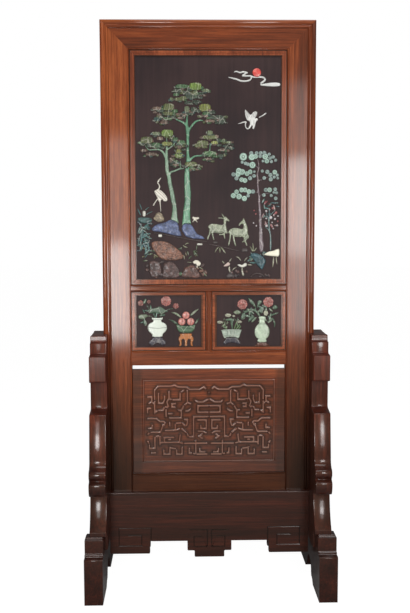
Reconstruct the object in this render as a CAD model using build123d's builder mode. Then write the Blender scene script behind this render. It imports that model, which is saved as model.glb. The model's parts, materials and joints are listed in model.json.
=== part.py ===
from build123d import *
import math
import os

os.makedirs("parts", exist_ok=True)

# Floor screen: a framed, inlaid and carved panel that stands in a slotted stand.
# Millimetres. X runs across, the front faces -Y, the floor is Z = 0 and the
# origin is on the floor, half way between the feet, in the screen's mid-plane.

# Screen frame
screen_width = 752.0
screen_height = 1670.0
frame_thick = 50.0
stile_width = 100.0
top_rail_height = 102.0
bottom_rail_height = 65.0
lower_rail_height = 52.0
upper_rail_height = 24.0
muntin_width = 20.0
carved_opening_height = 396.0
small_opening_height = 213.0

# Mouldings along the frame
quirk_depth = 3.5
field_relief = 0.8
outer_bead = 17.0
second_bead = 9.0
edge_bead = 5.0
outer_quirk = 3.0
quirk = 2.0

# Panels held in the frame's grooves
panel_recess = 10.0
panel_thick = 12.0
groove_depth = 6.0
fit_gap = 0.2
tongue_gap = 0.6
batten_height = 40.0
batten_thick = 14.0

# Mitred bead strips in front of the picture panels
strip_gap = 0.5
strip_thick = 5.0
strip_bead_thick = 2.0
main_strip_width = 20.0
small_strip_side = 17.5
small_strip_end = 14.0

# Frame joints
tenon_length = 40.0
tenon_shoulder = 1.0
muntin_tenon = 6.0
mitre_tenon_height = 24.0
mitre_tenon_reach = 24.0
pin_radius = 2.5

# Carved panel
panel_drop = 15.0
carved_side_gap = 1.5
carved_proud = 4.0
border_side = 38.0
border_end = 42.0
border_width = 5.0
border_proud = 2.0
field_sunk = 3.5
strap_width = 8.0
strap_rise = 4.5
strap_side_gap = 9.0
strap_end_gap = 14.5

# Inlay, and the room that each picture leaves at its sides and top
inlay_thick = 4.0
trunk_thick = 3.0
slab_corner = 0.42
landscape_side_gap = 2.5
landscape_top_gap = 40.0
still_life_side_gap = 4.5
still_life_top_gap = 3.0

# Stand
foot_depth = 508.0
foot_width = 64.0
foot_setback = 10.0
foot_bar_height = 161.0
tier_height = 57.0
tier_depth = 62.0
tier_setback = 33.0
plinth_height = 6.0
plinth_depth = 42.0
plinth_setback = 12.0
plinth_inset = 3.0
arch_half = 96.0
arch_height = 70.0
slot_depth = 16.0
post_width = 58.0
post_depth = 104.0
post_top = 905.0
post_chamfer = 3.0
post_tenon = 58.0
post_tenon_width = 26.0
post_tenon_depth = 60.0
slot_gap = 0.4
rail_underside = 279.0
rail_height = 51.0
rail_depth = 90.0
rail_chamfer = 2.0
rail_tenon = 40.0
rail_tenon_thick = 30.0
rail_tenon_inset = 10.0
rail_pin_radius = 5.0
spandrel_tongue = 12.0
tongue_depth = 8.0
spandrel_tenon = 30.0
spandrel_tenon_depth = 35.0
spandrel_tenon_setback = 25.0
tongue_margin = 70.0

# Aprons
apron_thick = 18.0
apron_setback = 3.0
apron_edge = 148.0
end_block_edge = 102.0
end_block_width = 144.0
centre_block_edge = 112.0
centre_block_half = 80.0
tab_edge = 88.0
tab_half = 54.0
apron_tongue = 6.0
apron_rib_inset = 20.0
fret_groove = 3.0
fret_depth = 2.5
corner_round = 4.0

# Heights and planes that follow from the sizes above
rail_top = rail_underside + rail_height
screen_bottom = rail_top
screen_top = screen_bottom + screen_height
half_width = screen_width / 2
opening_half = half_width - stile_width
front_y = -frame_thick / 2
panel_y = front_y + panel_recess
panel_back_y = panel_y + panel_thick
carved_low = screen_bottom + bottom_rail_height
carved_high = carved_low + carved_opening_height
small_low = carved_high + lower_rail_height
small_high = small_low + small_opening_height
main_low = small_high + upper_rail_height
main_high = screen_top - top_rail_height
muntin_half = muntin_width / 2
post_front = post_depth / 2
post_inner = half_width - slot_depth
foot_inner = post_inner + foot_setback
end_block_inner = post_inner - end_block_width
foot_front = foot_depth / 2
tongue = groove_depth - tongue_gap


# Shared shapes
def block(x_span, y_span, z_span, mode=Mode.ADD):
    spans = (x_span, y_span, z_span)
    centre = [(low + high) / 2 for low, high in spans]
    with Locations(tuple(centre)):
        Box(*[high - low for low, high in spans], mode=mode)


def socket(x_span, y_span, z_span, gap=fit_gap):
    # the room a tenon or tongue needs: its own box with a gap on every side
    wider = [(low - gap, high + gap) for low, high in (x_span, y_span, z_span)]
    block(*wider, mode=Mode.SUBTRACT)


def prism(corners, y_front, y_back):
    # an outline on the front view, carried from one depth to another
    with BuildPart() as solid:
        with BuildSketch(Plane.XZ.offset(-y_front)):
            Polygon(*corners)
        extrude(amount=y_front - y_back)
    return solid.part


def pin(x, z, radius, y_front, y_back, mode=Mode.ADD):
    with Locations((x, (y_front + y_back) / 2, z)):
        Cylinder(radius, y_back - y_front, rotation=(90, 0, 0), mode=mode)


def keep(name, piece):
    piece.part.label = name
    export_step(piece.part, f"parts/{name}.step")
    return piece.part


def keep_mirrored(name, source, plane):
    with BuildPart() as twin:
        mirror(source, about=plane)
    return keep(name, twin)


# Moulded frame members. The plane's X runs across the member's face from its
# outer edge, and its Y runs back from the frame's front.
def moulded_bar(plane, length, *members):
    with BuildPart() as bar:
        with BuildSketch(plane):
            with BuildLine():
                across = 0.0
                for kind, wide in members:
                    near, far = across, across + wide
                    if kind == "bead":
                        crest = quirk_depth - min(wide / 2, quirk_depth)
                        ThreePointArc((near, quirk_depth), ((near + far) / 2, crest), (far, quirk_depth))
                    elif kind == "field":
                        Polyline(
                            (near, quirk_depth),
                            (near, field_relief),
                            (far, field_relief),
                            (far, quirk_depth),
                        )
                    else:
                        Line((near, quirk_depth), (far, quirk_depth))
                    across = far
                Polyline((across, quirk_depth), (across, frame_thick), (0, frame_thick), (0, quirk_depth))
            make_face()
        extrude(amount=length)
    return bar.part


def outer_member(width):
    field = width - outer_bead - outer_quirk - second_bead - 2 * quirk - edge_bead
    return (
        ("bead", outer_bead),
        ("quirk", outer_quirk),
        ("bead", second_bead),
        ("quirk", quirk),
        ("field", field),
        ("quirk", quirk),
        ("bead", edge_bead),
    )


def inner_member(width):
    field = width - 2 * quirk - 2 * edge_bead
    return (("bead", edge_bead), ("quirk", quirk), ("field", field), ("quirk", quirk), ("bead", edge_bead))


panel_span = (panel_y, panel_back_y)
muntin_core = (-muntin_half + groove_depth, muntin_half - groove_depth)
rail_zones = {
    "bottom_rail": (screen_bottom, carved_low),
    "mid_rail_lower": (carved_high, small_low),
    "mid_rail_upper": (small_high, main_low),
}


def rail_tenon_zone(low, high):
    # clear of the panel grooves above and below
    return (low + groove_depth + tenon_shoulder, high - groove_depth - tenon_shoulder)


# Top rail, mitred to the stiles at 45 degrees or near it
mitre_x = half_width - stile_width / 2
mitre_z = screen_top - top_rail_height / 2
mitre_tenon_zone = (mitre_z - mitre_tenon_height / 2, mitre_z + mitre_tenon_height / 2)
with BuildPart() as top_rail:
    top_plane = Plane(origin=(-half_width, front_y, screen_top), x_dir=(0, 0, -1), z_dir=(1, 0, 0))
    add(moulded_bar(top_plane, screen_width, *outer_member(top_rail_height)))
    for side in (-1, 1):
        waste = (
            (side * half_width, screen_top),
            (side * opening_half, main_high),
            (side * half_width, main_high),
        )
        add(prism(waste, front_y - 1, -front_y + 1), mode=Mode.SUBTRACT)
        tenon_ends = sorted((side * (mitre_x - mitre_tenon_reach), side * (mitre_x + mitre_tenon_reach)))
        block(tenon_ends, panel_span, mitre_tenon_zone)
        pin(side * mitre_x, mitre_z, pin_radius + fit_gap, panel_y, -front_y, Mode.SUBTRACT)
    block(
        (-opening_half - groove_depth, opening_half + groove_depth),
        (panel_y - fit_gap, panel_back_y + fit_gap),
        (main_high, main_high + groove_depth),
        Mode.SUBTRACT,
    )
keep("top_rail", top_rail)

# Stiles, with a groove for the panels and a mortise for every rail
with BuildPart() as stile_left:
    stile_plane = Plane(origin=(-half_width, front_y, screen_bottom), x_dir=(1, 0, 0), z_dir=(0, 0, 1))
    add(moulded_bar(stile_plane, screen_height, *outer_member(stile_width)))
    waste = (
        (-half_width, screen_top),
        (-opening_half, main_high),
        (-opening_half, screen_top + 1),
        (-half_width, screen_top + 1),
    )
    add(prism(waste, front_y - 1, -front_y + 1), mode=Mode.SUBTRACT)
    block(
        (-opening_half - groove_depth, -opening_half),
        (panel_y - fit_gap, panel_back_y + fit_gap),
        (carved_low - groove_depth, main_high + groove_depth),
        Mode.SUBTRACT,
    )
    for low, high in rail_zones.values():
        socket((-opening_half - tenon_length, -opening_half), panel_span, rail_tenon_zone(low, high))
        pin(-opening_half - tenon_length / 2, (low + high) / 2, pin_radius + fit_gap,
            panel_y, -front_y, Mode.SUBTRACT)
    socket((-mitre_x - mitre_tenon_reach, -mitre_x + mitre_tenon_reach), panel_span, mitre_tenon_zone)
    pin(-mitre_x, mitre_z, pin_radius + fit_gap, panel_y, -front_y, Mode.SUBTRACT)
stile_left_part = keep("stile_left", stile_left)
keep_mirrored("stile_right", stile_left_part, Plane.YZ)


# Rails between the stiles
def rail(name, members, groove_below, groove_above):
    low, high = rail_zones[name]
    with BuildPart() as bar:
        bar_plane = Plane(origin=(opening_half, front_y, low), x_dir=(0, 0, 1), z_dir=(-1, 0, 0))
        add(moulded_bar(bar_plane, 2 * opening_half, *members))
        groove_y = (panel_y - fit_gap, panel_back_y + fit_gap)
        if groove_below:
            block((-opening_half, opening_half), groove_y, (low, low + groove_depth), Mode.SUBTRACT)
        if groove_above:
            block((-opening_half, opening_half), groove_y, (high - groove_depth, high), Mode.SUBTRACT)
        for side in (-1, 1):
            ends = sorted((side * (opening_half - tenon_length / 4), side * (opening_half + tenon_length)))
            block(ends, panel_span, rail_tenon_zone(low, high))
            pin(side * (opening_half + tenon_length / 2), (low + high) / 2, pin_radius + fit_gap,
                panel_y, panel_back_y, Mode.SUBTRACT)
        if name != "bottom_rail":
            muntin_end = small_low if name == "mid_rail_lower" else small_high
            depth = muntin_tenon + fit_gap
            socket(
                muntin_core,
                panel_span,
                (muntin_end - depth, muntin_end + depth),
            )
    return keep(name, bar)


bottom_members = (
    ("field", bottom_rail_height - quirk - edge_bead),
    ("quirk", quirk),
    ("bead", edge_bead),
)
rail("bottom_rail", bottom_members, groove_below=False, groove_above=True)
rail("mid_rail_lower", inner_member(lower_rail_height), groove_below=True, groove_above=True)
rail("mid_rail_upper", inner_member(upper_rail_height), groove_below=True, groove_above=True)

# Muntin between the two small panels
with BuildPart() as muntin:
    muntin_plane = Plane(origin=(-muntin_half, front_y, small_low), x_dir=(1, 0, 0), z_dir=(0, 0, 1))
    add(moulded_bar(muntin_plane, small_opening_height, *inner_member(muntin_width)))
    for side in (-1, 1):
        block(
            sorted((side * (muntin_half - groove_depth), side * muntin_half)),
            (panel_y - fit_gap, panel_back_y + fit_gap),
            (small_low, small_high),
            Mode.SUBTRACT,
        )
    block(
        muntin_core,
        panel_span,
        (small_low - muntin_tenon, small_high + muntin_tenon),
    )
keep("muntin", muntin)

# Wooden pins from the back through every frame joint
with BuildPart() as frame_pins:
    for side in (-1, 1):
        for low, high in rail_zones.values():
            pin(side * (opening_half + tenon_length / 2), (low + high) / 2, pin_radius, panel_y, -front_y)
        pin(side * mitre_x, mitre_z, pin_radius, panel_y, -front_y)
keep("frame_pins", frame_pins)


# Panels, which float in the grooves and rest on the lower one
def plain_panel(name, x_low, x_high, z_low, z_high):
    with BuildPart() as panel:
        block((x_low - tongue, x_high + tongue), panel_span, (z_low - groove_depth, z_high + tongue))
    return keep(name, panel)


def bead_frame(name, x_low, x_high, z_low, z_high, side_width, end_width):
    # four mitred strips, each with a raised bead along its outer half
    def ring(share):
        dx = strip_gap + share * side_width
        dz = strip_gap + share * end_width
        return (
            (x_low + dx, z_low + dz),
            (x_high - dx, z_low + dz),
            (x_high - dx, z_high - dz),
            (x_low + dx, z_high - dz),
        )

    with BuildPart() as strips:
        for near, far, front in ((0.0, 1.0, strip_thick), (0.04, 0.5, strip_thick + strip_bead_thick)):
            outer, inner = ring(near), ring(far)
            for i in range(4):
                j = (i + 1) % 4
                add(prism((outer[i], outer[j], inner[j], inner[i]), panel_y - front, panel_y))
        # the saw kerf of each mitre keeps the strips apart
        for i, corner in enumerate(ring(0.0)):
            inward = ring(1.0)[i]
            dx, dz = inward[0] - corner[0], inward[1] - corner[1]
            size = math.hypot(dx, dz)
            nx, nz = -dz / size * fit_gap / 2, dx / size * fit_gap / 2
            start = (corner[0] - dx, corner[1] - dz)
            end = (inward[0] + dx, inward[1] + dz)
            kerf = (
                (start[0] - nx, start[1] - nz),
                (end[0] - nx, end[1] - nz),
                (end[0] + nx, end[1] + nz),
                (start[0] + nx, start[1] + nz),
            )
            add(prism(kerf, panel_y - strip_thick - strip_bead_thick - 1, panel_y + 1), mode=Mode.SUBTRACT)
    return keep(name, strips)


plain_panel("main_panel", -opening_half, opening_half, main_low, main_high)
bead_frame("main_bead_frame", -opening_half, opening_half, main_low, main_high,
           main_strip_width, main_strip_width)
plain_panel("small_panel_left", -opening_half, -muntin_half, small_low, small_high)
plain_panel("small_panel_right", muntin_half, opening_half, small_low, small_high)
bead_frame("small_bead_frame_left", -opening_half, -muntin_half, small_low, small_high,
           small_strip_side, small_strip_end)
bead_frame("small_bead_frame_right", muntin_half, opening_half, small_low, small_high,
           small_strip_side, small_strip_end)

# Battens across the back of the picture panel keep it flat
with BuildPart() as panel_battens:
    for share in (1 / 4, 3 / 4):
        z = main_low + share * (main_high - main_low)
        block(
            (-opening_half + fit_gap, opening_half - fit_gap),
            (panel_back_y, panel_back_y + batten_thick),
            (z - batten_height / 2, z + batten_height / 2),
        )
keep("panel_battens", panel_battens)


# Outlines of strokes: a taper along a bent line, and a strap with mitred corners
def stroke(knots):
    left, right = [], []
    last = len(knots) - 1
    for i, (x, z, wide) in enumerate(knots):
        before, after = knots[max(i - 1, 0)], knots[min(i + 1, last)]
        run = math.hypot(after[0] - before[0], after[1] - before[1])
        nx, nz = (before[1] - after[1]) / run, (after[0] - before[0]) / run
        left.append((x + nx * wide / 2, z + nz * wide / 2))
        right.append((x - nx * wide / 2, z - nz * wide / 2))
    return left + right[::-1]


def strap(corners, width):
    left, right = [], []
    last = len(corners) - 1
    for i, (x, z) in enumerate(corners):
        turns = []
        for start, end in ((i - 1, i), (i, i + 1)):
            if start >= 0 and end <= last:
                run = math.dist(corners[start], corners[end])
                turns.append((
                    (corners[start][1] - corners[end][1]) / run,
                    (corners[end][0] - corners[start][0]) / run,
                ))
        nx, nz = (turns[0][0] + turns[-1][0]) / 2, (turns[0][1] + turns[-1][1]) / 2
        reach = width / 2 / (nx * nx + nz * nz)
        left.append((x + nx * reach, z + nz * reach))
        right.append((x - nx * reach, z - nz * reach))
    return left + right[::-1]


# Carved panel: a broad margin, a raised border and a sunk field of strapwork.
# Strap corners are measured from the middle of the field, right half only.
strap_lines = [
    [(10, 114), (19, 124), (34, 114), (70, 114), (82, 123), (112, 123), (124, 131), (136, 126),
     (184, 126), (196, 112), (196, 74)],
    [(78, 114), (78, 66), (90, 56)],
    [(64, 44), (76, 35), (88, 35)],
    [(114, 38), (100, 38), (100, 10), (146, 10)],
    [(104, 104), (104, 76), (134, 76)],
    [(144, 110), (144, 82), (152, 70), (146, 48)],
    [(182, 104), (182, 64), (166, 64), (160, 78), (160, 94)],
    [(160, 52), (166, 38), (184, 38)],
    [(224, 8), (190, 8), (178, -3), (158, -3)],
    [(224, 88), (206, 88), (206, 70), (220, 62)],
    [(0, 14), (56, 14), (56, -60), (74, -60)],
    [(44, 2), (10, 2), (10, -30), (30, -30), (30, -16)],
    [(0, 80), (20, 68), (42, 68), (52, 76)],
    [(0, 30), (40, 30), (40, 54), (0, 54)],
    [(4, -84), (92, -84)],
    [(48, -70), (48, -124)],
    [(34, -100), (34, -116), (12, -116)],
    [(104, -48), (108, -80), (162, -80), (162, -62), (124, -62)],
    [(84, -22), (98, -8)],
    [(80, -46), (102, -28)],
    [(122, -10), (122, -36), (162, -36)],
    [(166, -16), (176, -42), (214, -42)],
    [(178, -56), (178, -92)],
    [(196, -58), (196, -102), (216, -102), (216, -86)],
    [(72, -98), (72, -120), (60, -120)],
    [(98, -94), (98, -124), (118, -124), (118, -104)],
    [(142, -94), (142, -124), (164, -124), (164, -104)],
    [(190, -118), (214, -118)],
    [(118, 62), (134, 62), (134, 50), (120, 50)],
    [(130, 26), (150, 26)],
    [(206, 46), (222, 46), (222, 26)],
    [(206, -12), (206, -28), (222, -28)],
    [(142, -4), (142, -22)],
    [(136, -70), (150, -70)],
    [(22, -48), (36, -58), (22, -68)],
    [(0, 108), (0, 96)],
]
carved_top = carved_high - panel_drop
carved_face_y = panel_y - carved_proud
field_y = carved_face_y + field_sunk
field_x = opening_half - border_side
field_z = (carved_low + border_end, carved_top - border_end + 2 * border_proud)
field_mid = (field_z[0] + field_z[1]) / 2
strap_room_x = field_x - border_width - strap_side_gap
strap_room_z = (field_z[1] - field_z[0]) / 2 - border_width - strap_end_gap
strap_stretch_x = strap_room_x / max(x for line in strap_lines for x, z in line)
strap_stretch_z = strap_room_z / max(abs(z) for line in strap_lines for x, z in line)
with BuildPart() as carved_panel:
    carved_bottom = carved_low - groove_depth
    block((-opening_half - tongue, opening_half + tongue), panel_span, (carved_bottom, carved_top))
    block(
        (-opening_half + carved_side_gap, opening_half - carved_side_gap),
        (carved_face_y, panel_y),
        (carved_low + carved_side_gap, carved_top),
    )
    border_x, border_z = (-field_x, field_x), (field_z[0], field_z[1])
    block(border_x, (carved_face_y - border_proud, carved_face_y), border_z)
    block(
        (-field_x + border_width, field_x - border_width),
        (carved_face_y - border_proud, field_y),
        (field_z[0] + border_width, field_z[1] - border_width),
        Mode.SUBTRACT,
    )
    with BuildSketch(Plane.XZ.offset(-field_y)):
        for side in (-1, 1):
            for line in strap_lines:
                corners = [
                    (side * x * strap_stretch_x, field_mid + z * strap_stretch_z) for x, z in line
                ]
                Polygon(*strap(corners, strap_width))
    extrude(amount=strap_rise)
keep("carved_panel", carved_panel)


# Inlay pieces. Outlines are drawn from the screen's centre line and from each
# picture's lower edge. They are collected first, because each picture is then
# sized as a whole to fill its opening up to the gaps named above.
drawings = {}


class Drawing:
    def __init__(self, picture, outlines, strokes, discs, slabs, thick, under):
        self.picture = picture
        self.outlines = list(outlines) + [stroke(knots) for knots in strokes]
        self.discs = discs
        self.slabs = slabs
        self.thick = thick
        self.under = under

    def corners(self):
        points = [point for outline in self.outlines for point in outline]
        for x, z, radius in self.discs:
            points += [(x - radius, z - radius), (x + radius, z + radius)]
        for x, z, wide, high in self.slabs:
            points += [(x - wide / 2, z - high / 2), (x + wide / 2, z + high / 2)]
        return points


def inlay(name, picture, outlines=(), strokes=(), discs=(), slabs=(), thick=inlay_thick, under=()):
    # under names the pieces that are let in over this one
    drawings[name] = Drawing(picture, outlines, strokes, discs, slabs, thick, under)
    return name


# Sky: sun, ribbon cloud and a flying crane
sun = inlay("inlay_sun", "landscape", discs=[(170, 722, 15)])
inlay(
    "inlay_cloud",
    "landscape",
    strokes=[
        [(90, 723, 4), (99, 727, 5), (110, 721, 6), (123, 725, 7), (139, 721, 5)],
        [(136, 722, 5), (128, 717, 6), (118, 711, 5)],
        [(118, 711, 6), (132, 710, 6), (146, 711, 6), (158, 706, 6), (184, 707, 6), (197, 704, 6)],
        [(197, 704, 6), (200, 696, 8), (190, 689, 7), (182, 685, 5)],
        [(182, 680, 6), (200, 680, 9), (222, 681, 15), (253, 681, 13)],
        [(147, 712, 5), (151, 703, 6), (146, 696, 6), (136, 693, 6), (120, 692, 6), (106, 696, 7),
         (97, 700, 6), (84, 703, 5), (70, 706, 3)],
    ],
    under=[sun],
)
inlay(
    "inlay_crane_flying",
    "landscape",
    outlines=[
        [(127, 598), (130, 570), (136, 558), (146, 553), (146, 542), (140, 531), (146, 528), (152, 538),
         (156, 540), (154, 529), (159, 526), (164, 534), (167, 552), (176, 560), (171, 566), (163, 563),
         (171, 575), (173, 586), (165, 590), (156, 585), (149, 574), (138, 587)],
    ],
    strokes=[
        [(146, 532, 4), (138, 527, 5), (131, 533, 4), (130, 545, 4), (133, 551, 8), (127, 552, 6),
         (104, 545, 2)],
        [(177, 567, 3), (190, 573, 4), (204, 583, 5)],
    ],
)

# Right side: the pine with round needle clusters, and a small flowering tree
needle_discs = [
    (123, 430, 14), (151, 442, 8), (153, 429, 12), (166, 431, 9), (170, 443, 7), (184, 443, 7),
    (197, 443, 8), (182, 432, 7), (200, 431, 11), (214, 439, 6), (217, 425, 7), (228, 429, 7),
    (206, 415, 9), (192, 415, 5), (222, 413, 6), (237, 418, 6), (119, 411, 6), (131, 407, 7),
    (139, 404, 7), (155, 401, 12), (107, 381, 11), (119, 377, 11), (104, 369, 10), (147, 377, 9),
    (136, 371, 9), (162, 378, 5), (88, 368, 8), (99, 355, 8), (117, 350, 9), (129, 347, 9),
    (147, 355, 8), (161, 363, 7), (190, 380, 6), (208, 377, 8), (219, 366, 8), (234, 376, 9),
    (243, 366, 6), (197, 356, 7), (220, 351, 8), (232, 359, 6), (245, 355, 5), (88, 294, 10),
    (108, 291, 11), (99, 307, 9), (117, 314, 9), (129, 314, 9), (143, 308, 9), (157, 308, 8),
    (127, 284, 10), (140, 294, 7), (203, 314, 8), (216, 314, 9), (236, 316, 7), (231, 305, 5),
    (196, 296, 7), (222, 294, 6), (241, 304, 6), (238, 284, 7),
]
needles = inlay("inlay_pine_needles", "landscape", discs=needle_discs)
inlay(
    "inlay_pine_trunk",
    "landscape",
    strokes=[
        [(174, 423, 4), (179, 400, 5), (174, 370, 6), (174, 340, 7), (178, 300, 9), (181, 260, 10),
         (184, 210, 12), (186, 160, 13), (189, 94, 20)],
        [(178, 392, 4), (166, 398, 3), (150, 396, 2)],
        [(175, 365, 4), (160, 368, 3), (140, 366, 2)],
        [(176, 345, 4), (192, 352, 3), (214, 362, 2)],
        [(178, 310, 4), (160, 302, 3), (136, 302, 2)],
        [(180, 292, 4), (196, 302, 3), (222, 304, 2)],
    ],
    thick=trunk_thick,
    under=[needles],
)
blue_rocks = inlay(
    "inlay_rocks_blue",
    "landscape",
    outlines=[
        [(-203, 178), (-190, 190), (-178, 197), (-155, 200), (-145, 207), (-135, 211), (-122, 207),
         (-112, 202), (-106, 190), (-104, 175), (-98, 162), (-95, 150), (-120, 155), (-150, 162),
         (-175, 168), (-198, 170)],
        [(-96, 182), (-88, 196), (-70, 198), (-58, 190), (-50, 175), (-42, 162), (-36, 157), (-22, 152),
         (-10, 141), (-35, 142), (-60, 144), (-80, 150), (-88, 162), (-95, 172)],
    ],
)
teal_rock = inlay(
    "inlay_rock_teal",
    "landscape",
    outlines=[
        [(148, 88), (160, 93), (175, 90), (190, 82), (202, 72), (205, 60), (198, 45), (190, 30), (180, 40),
         (172, 50), (160, 68), (150, 78)],
        [(-250, 220), (-225, 218), (-203, 218), (-199, 205), (-215, 197), (-240, 199), (-250, 205)],
    ],
)
white_pieces = inlay(
    "inlay_white_pieces",
    "landscape",
    outlines=[
        [(100, 50), (112, 52), (120, 48), (126, 55), (134, 57), (138, 48), (130, 42), (120, 39), (112, 42)],
        [(52, 45), (59, 52), (70, 60), (77, 55), (76, 48), (66, 44), (56, 43)],
        [(196, 87), (215, 97), (232, 99), (242, 105), (253, 107), (253, 78), (236, 79), (215, 81),
         (203, 83)],
    ],
    discs=[(221, 217, 6), (240, 234, 5), (232, 226, 3), (205, 240, 4), (228, 250, 4), (206, 188, 5),
           (226, 200, 3), (236, 212, 4), (247, 222, 3), (205, 214, 3), (244, 190, 3), (230, 178, 3),
           (162, 242, 3), (168, 230, 3), (160, 198, 3), (170, 188, 3), (246, 204, 3)],
    slabs=[(-172, 154, 14, 10), (-32, 123, 20, 7), (-228, 232, 11, 20)],
    under=[teal_rock],
)
inlay(
    "inlay_small_tree",
    "landscape",
    strokes=[
        [(216, 252, 3), (216, 220, 4), (214, 198, 4), (217, 168, 5), (221, 152, 5), (221, 100, 6)],
        [(217, 168, 4), (210, 178, 3), (200, 184, 2)],
        [(216, 222, 3), (226, 232, 3), (238, 244, 2)],
        [(215, 205, 3), (206, 226, 3), (204, 244, 2)],
    ],
    thick=trunk_thick,
    under=[white_pieces],
)

# Left side: two tall trees with slab-like tufts, and the standing crane
tuft_slabs = [
    (-92, 673, 44, 15), (-45, 673, 42, 26), (-9, 659, 23, 13), (-108, 658, 30, 12), (-76, 651, 30, 14),
    (-45, 650, 16, 20), (-25, 648, 22, 13), (-130, 630, 9, 12), (-100, 629, 36, 13), (-60, 638, 46, 16),
    (-43, 620, 28, 13), (-179, 597, 34, 13), (-139, 602, 38, 25), (-142, 580, 36, 15), (-75, 594, 18, 23),
    (-51, 593, 22, 18), (-12, 600, 40, 26), (-8, 579, 26, 14), (-167, 568, 16, 8), (-147, 562, 24, 12),
    (-155, 548, 26, 11), (-181, 560, 20, 16), (-105, 577, 20, 10), (-84, 574, 18, 12), (28, 567, 54, 14),
    (6, 554, 36, 11), (48, 555, 26, 18), (-144, 512, 41, 25), (-184, 510, 32, 14), (-216, 488, 42, 24),
    (-184, 470, 33, 19), (-145, 475, 37, 15), (-116, 490, 22, 15), (-95, 479, 28, 17), (-102, 466, 22, 12),
    (-105, 449, 20, 15), (-104, 434, 36, 15), (-131, 418, 12, 20), (-115, 413, 18, 12), (-116, 402, 24, 10),
    (-62, 404, 42, 18), (-33, 396, 11, 15), (-54, 388, 24, 8), (-200, 439, 42, 12), (-20, 477, 40, 20),
    (-36, 469, 26, 14), (5, 513, 20, 16), (6, 498, 52, 15), (22, 479, 24, 12), (5, 442, 46, 16),
    (2, 422, 26, 10), (54, 486, 13, 14), (71, 480, 20, 9), (63, 466, 16, 13), (78, 462, 14, 10),
    (50, 454, 22, 11), (44, 433, 22, 14),
]
shaded_slabs = [
    (-112, 645, 22, 11), (-66, 662, 20, 11), (-86, 634, 26, 11), (-30, 636, 24, 12), (-72, 617, 24, 11),
    (-186, 584, 16, 9), (-164, 588, 20, 12), (-116, 588, 20, 13), (-172, 576, 18, 9), (-124, 566, 22, 10),
    (-98, 564, 20, 9), (-62, 578, 20, 11), (-34, 588, 16, 12), (14, 584, 24, 14), (-30, 570, 18, 9),
    (62, 568, 14, 10), (34, 548, 24, 10), (-232, 474, 18, 12), (-208, 468, 22, 12), (-170, 494, 22, 12),
    (-130, 496, 18, 12), (-164, 462, 20, 10), (-226, 452, 26, 10), (-78, 468, 14, 10), (-88, 454, 16, 10),
    (-122, 433, 18, 10), (-80, 396, 16, 10), (-40, 386, 16, 8), (26, 500, 20, 12), (-14, 464, 20, 9),
    (36, 488, 18, 11), (38, 470, 20, 9), (84, 472, 12, 9), (68, 452, 16, 9), (-14, 433, 20, 9),
    (24, 431, 20, 10), (14, 414, 14, 8), (60, 440, 14, 8),
]
tufts = inlay("inlay_foliage", "landscape", slabs=tuft_slabs + shaded_slabs)
inlay(
    "inlay_trunk_left",
    "landscape",
    strokes=[
        [(-122, 199, 34), (-121, 215, 22), (-120, 240, 17), (-121, 260, 14), (-126, 285, 16),
         (-130, 310, 14), (-137, 340, 14), (-139, 360, 13), (-146, 382, 13), (-147, 410, 12),
         (-148, 432, 11), (-147, 452, 8), (-146, 475, 5), (-147, 498, 3)],
        [(-141, 366, 8), (-132, 378, 7), (-118, 382, 6), (-102, 389, 6), (-86, 390, 4)],
        [(-100, 388, 4), (-97, 402, 3), (-100, 418, 2)],
        [(-150, 428, 9), (-160, 448, 7), (-174, 457, 6), (-195, 456, 6), (-210, 454, 5), (-222, 470, 3)],
        [(-147, 455, 6), (-136, 462, 5), (-124, 471, 5), (-117, 482, 3)],
    ],
    thick=trunk_thick,
    under=[tufts, blue_rocks],
)
inlay(
    "inlay_trunk_centre",
    "landscape",
    strokes=[
        [(-78, 190, 34), (-78, 215, 26), (-77, 245, 24), (-74, 275, 20), (-73, 300, 23), (-75, 330, 21),
         (-76, 360, 19), (-75, 385, 16), (-72, 420, 12), (-73, 460, 9), (-72, 500, 10), (-73, 525, 13),
         (-76, 545, 9), (-75, 562, 6), (-74, 576, 4)],
        [(-70, 522, 8), (-60, 536, 7), (-47, 552, 7), (-33, 558, 6), (-18, 557, 4)],
        [(-76, 540, 8), (-88, 550, 7), (-104, 557, 6), (-118, 564, 5), (-127, 573, 3)],
        [(-68, 416, 8), (-56, 429, 7), (-45, 434, 6), (-28, 434, 6), (-14, 439, 5), (5, 452, 4),
         (6, 474, 3)],
    ],
    thick=trunk_thick,
    under=[tufts, blue_rocks],
)
inlay(
    "inlay_crane_standing",
    "landscape",
    outlines=[
        [(-192, 312), (-181, 318), (-168, 314), (-157, 304), (-148, 293), (-144, 280), (-151, 274),
         (-159, 276), (-165, 283), (-171, 273), (-176, 274), (-180, 285), (-186, 298), (-191, 305)],
    ],
    strokes=[
        [(-178, 314, 5), (-172, 326, 5), (-174, 333, 4), (-180, 340, 4), (-176, 348, 6), (-167, 358, 2)],
        [(-172, 276, 4), (-170, 256, 3), (-169, 238, 3)],
        [(-180, 284, 4), (-190, 270, 3), (-196, 260, 5)],
    ],
)
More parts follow.
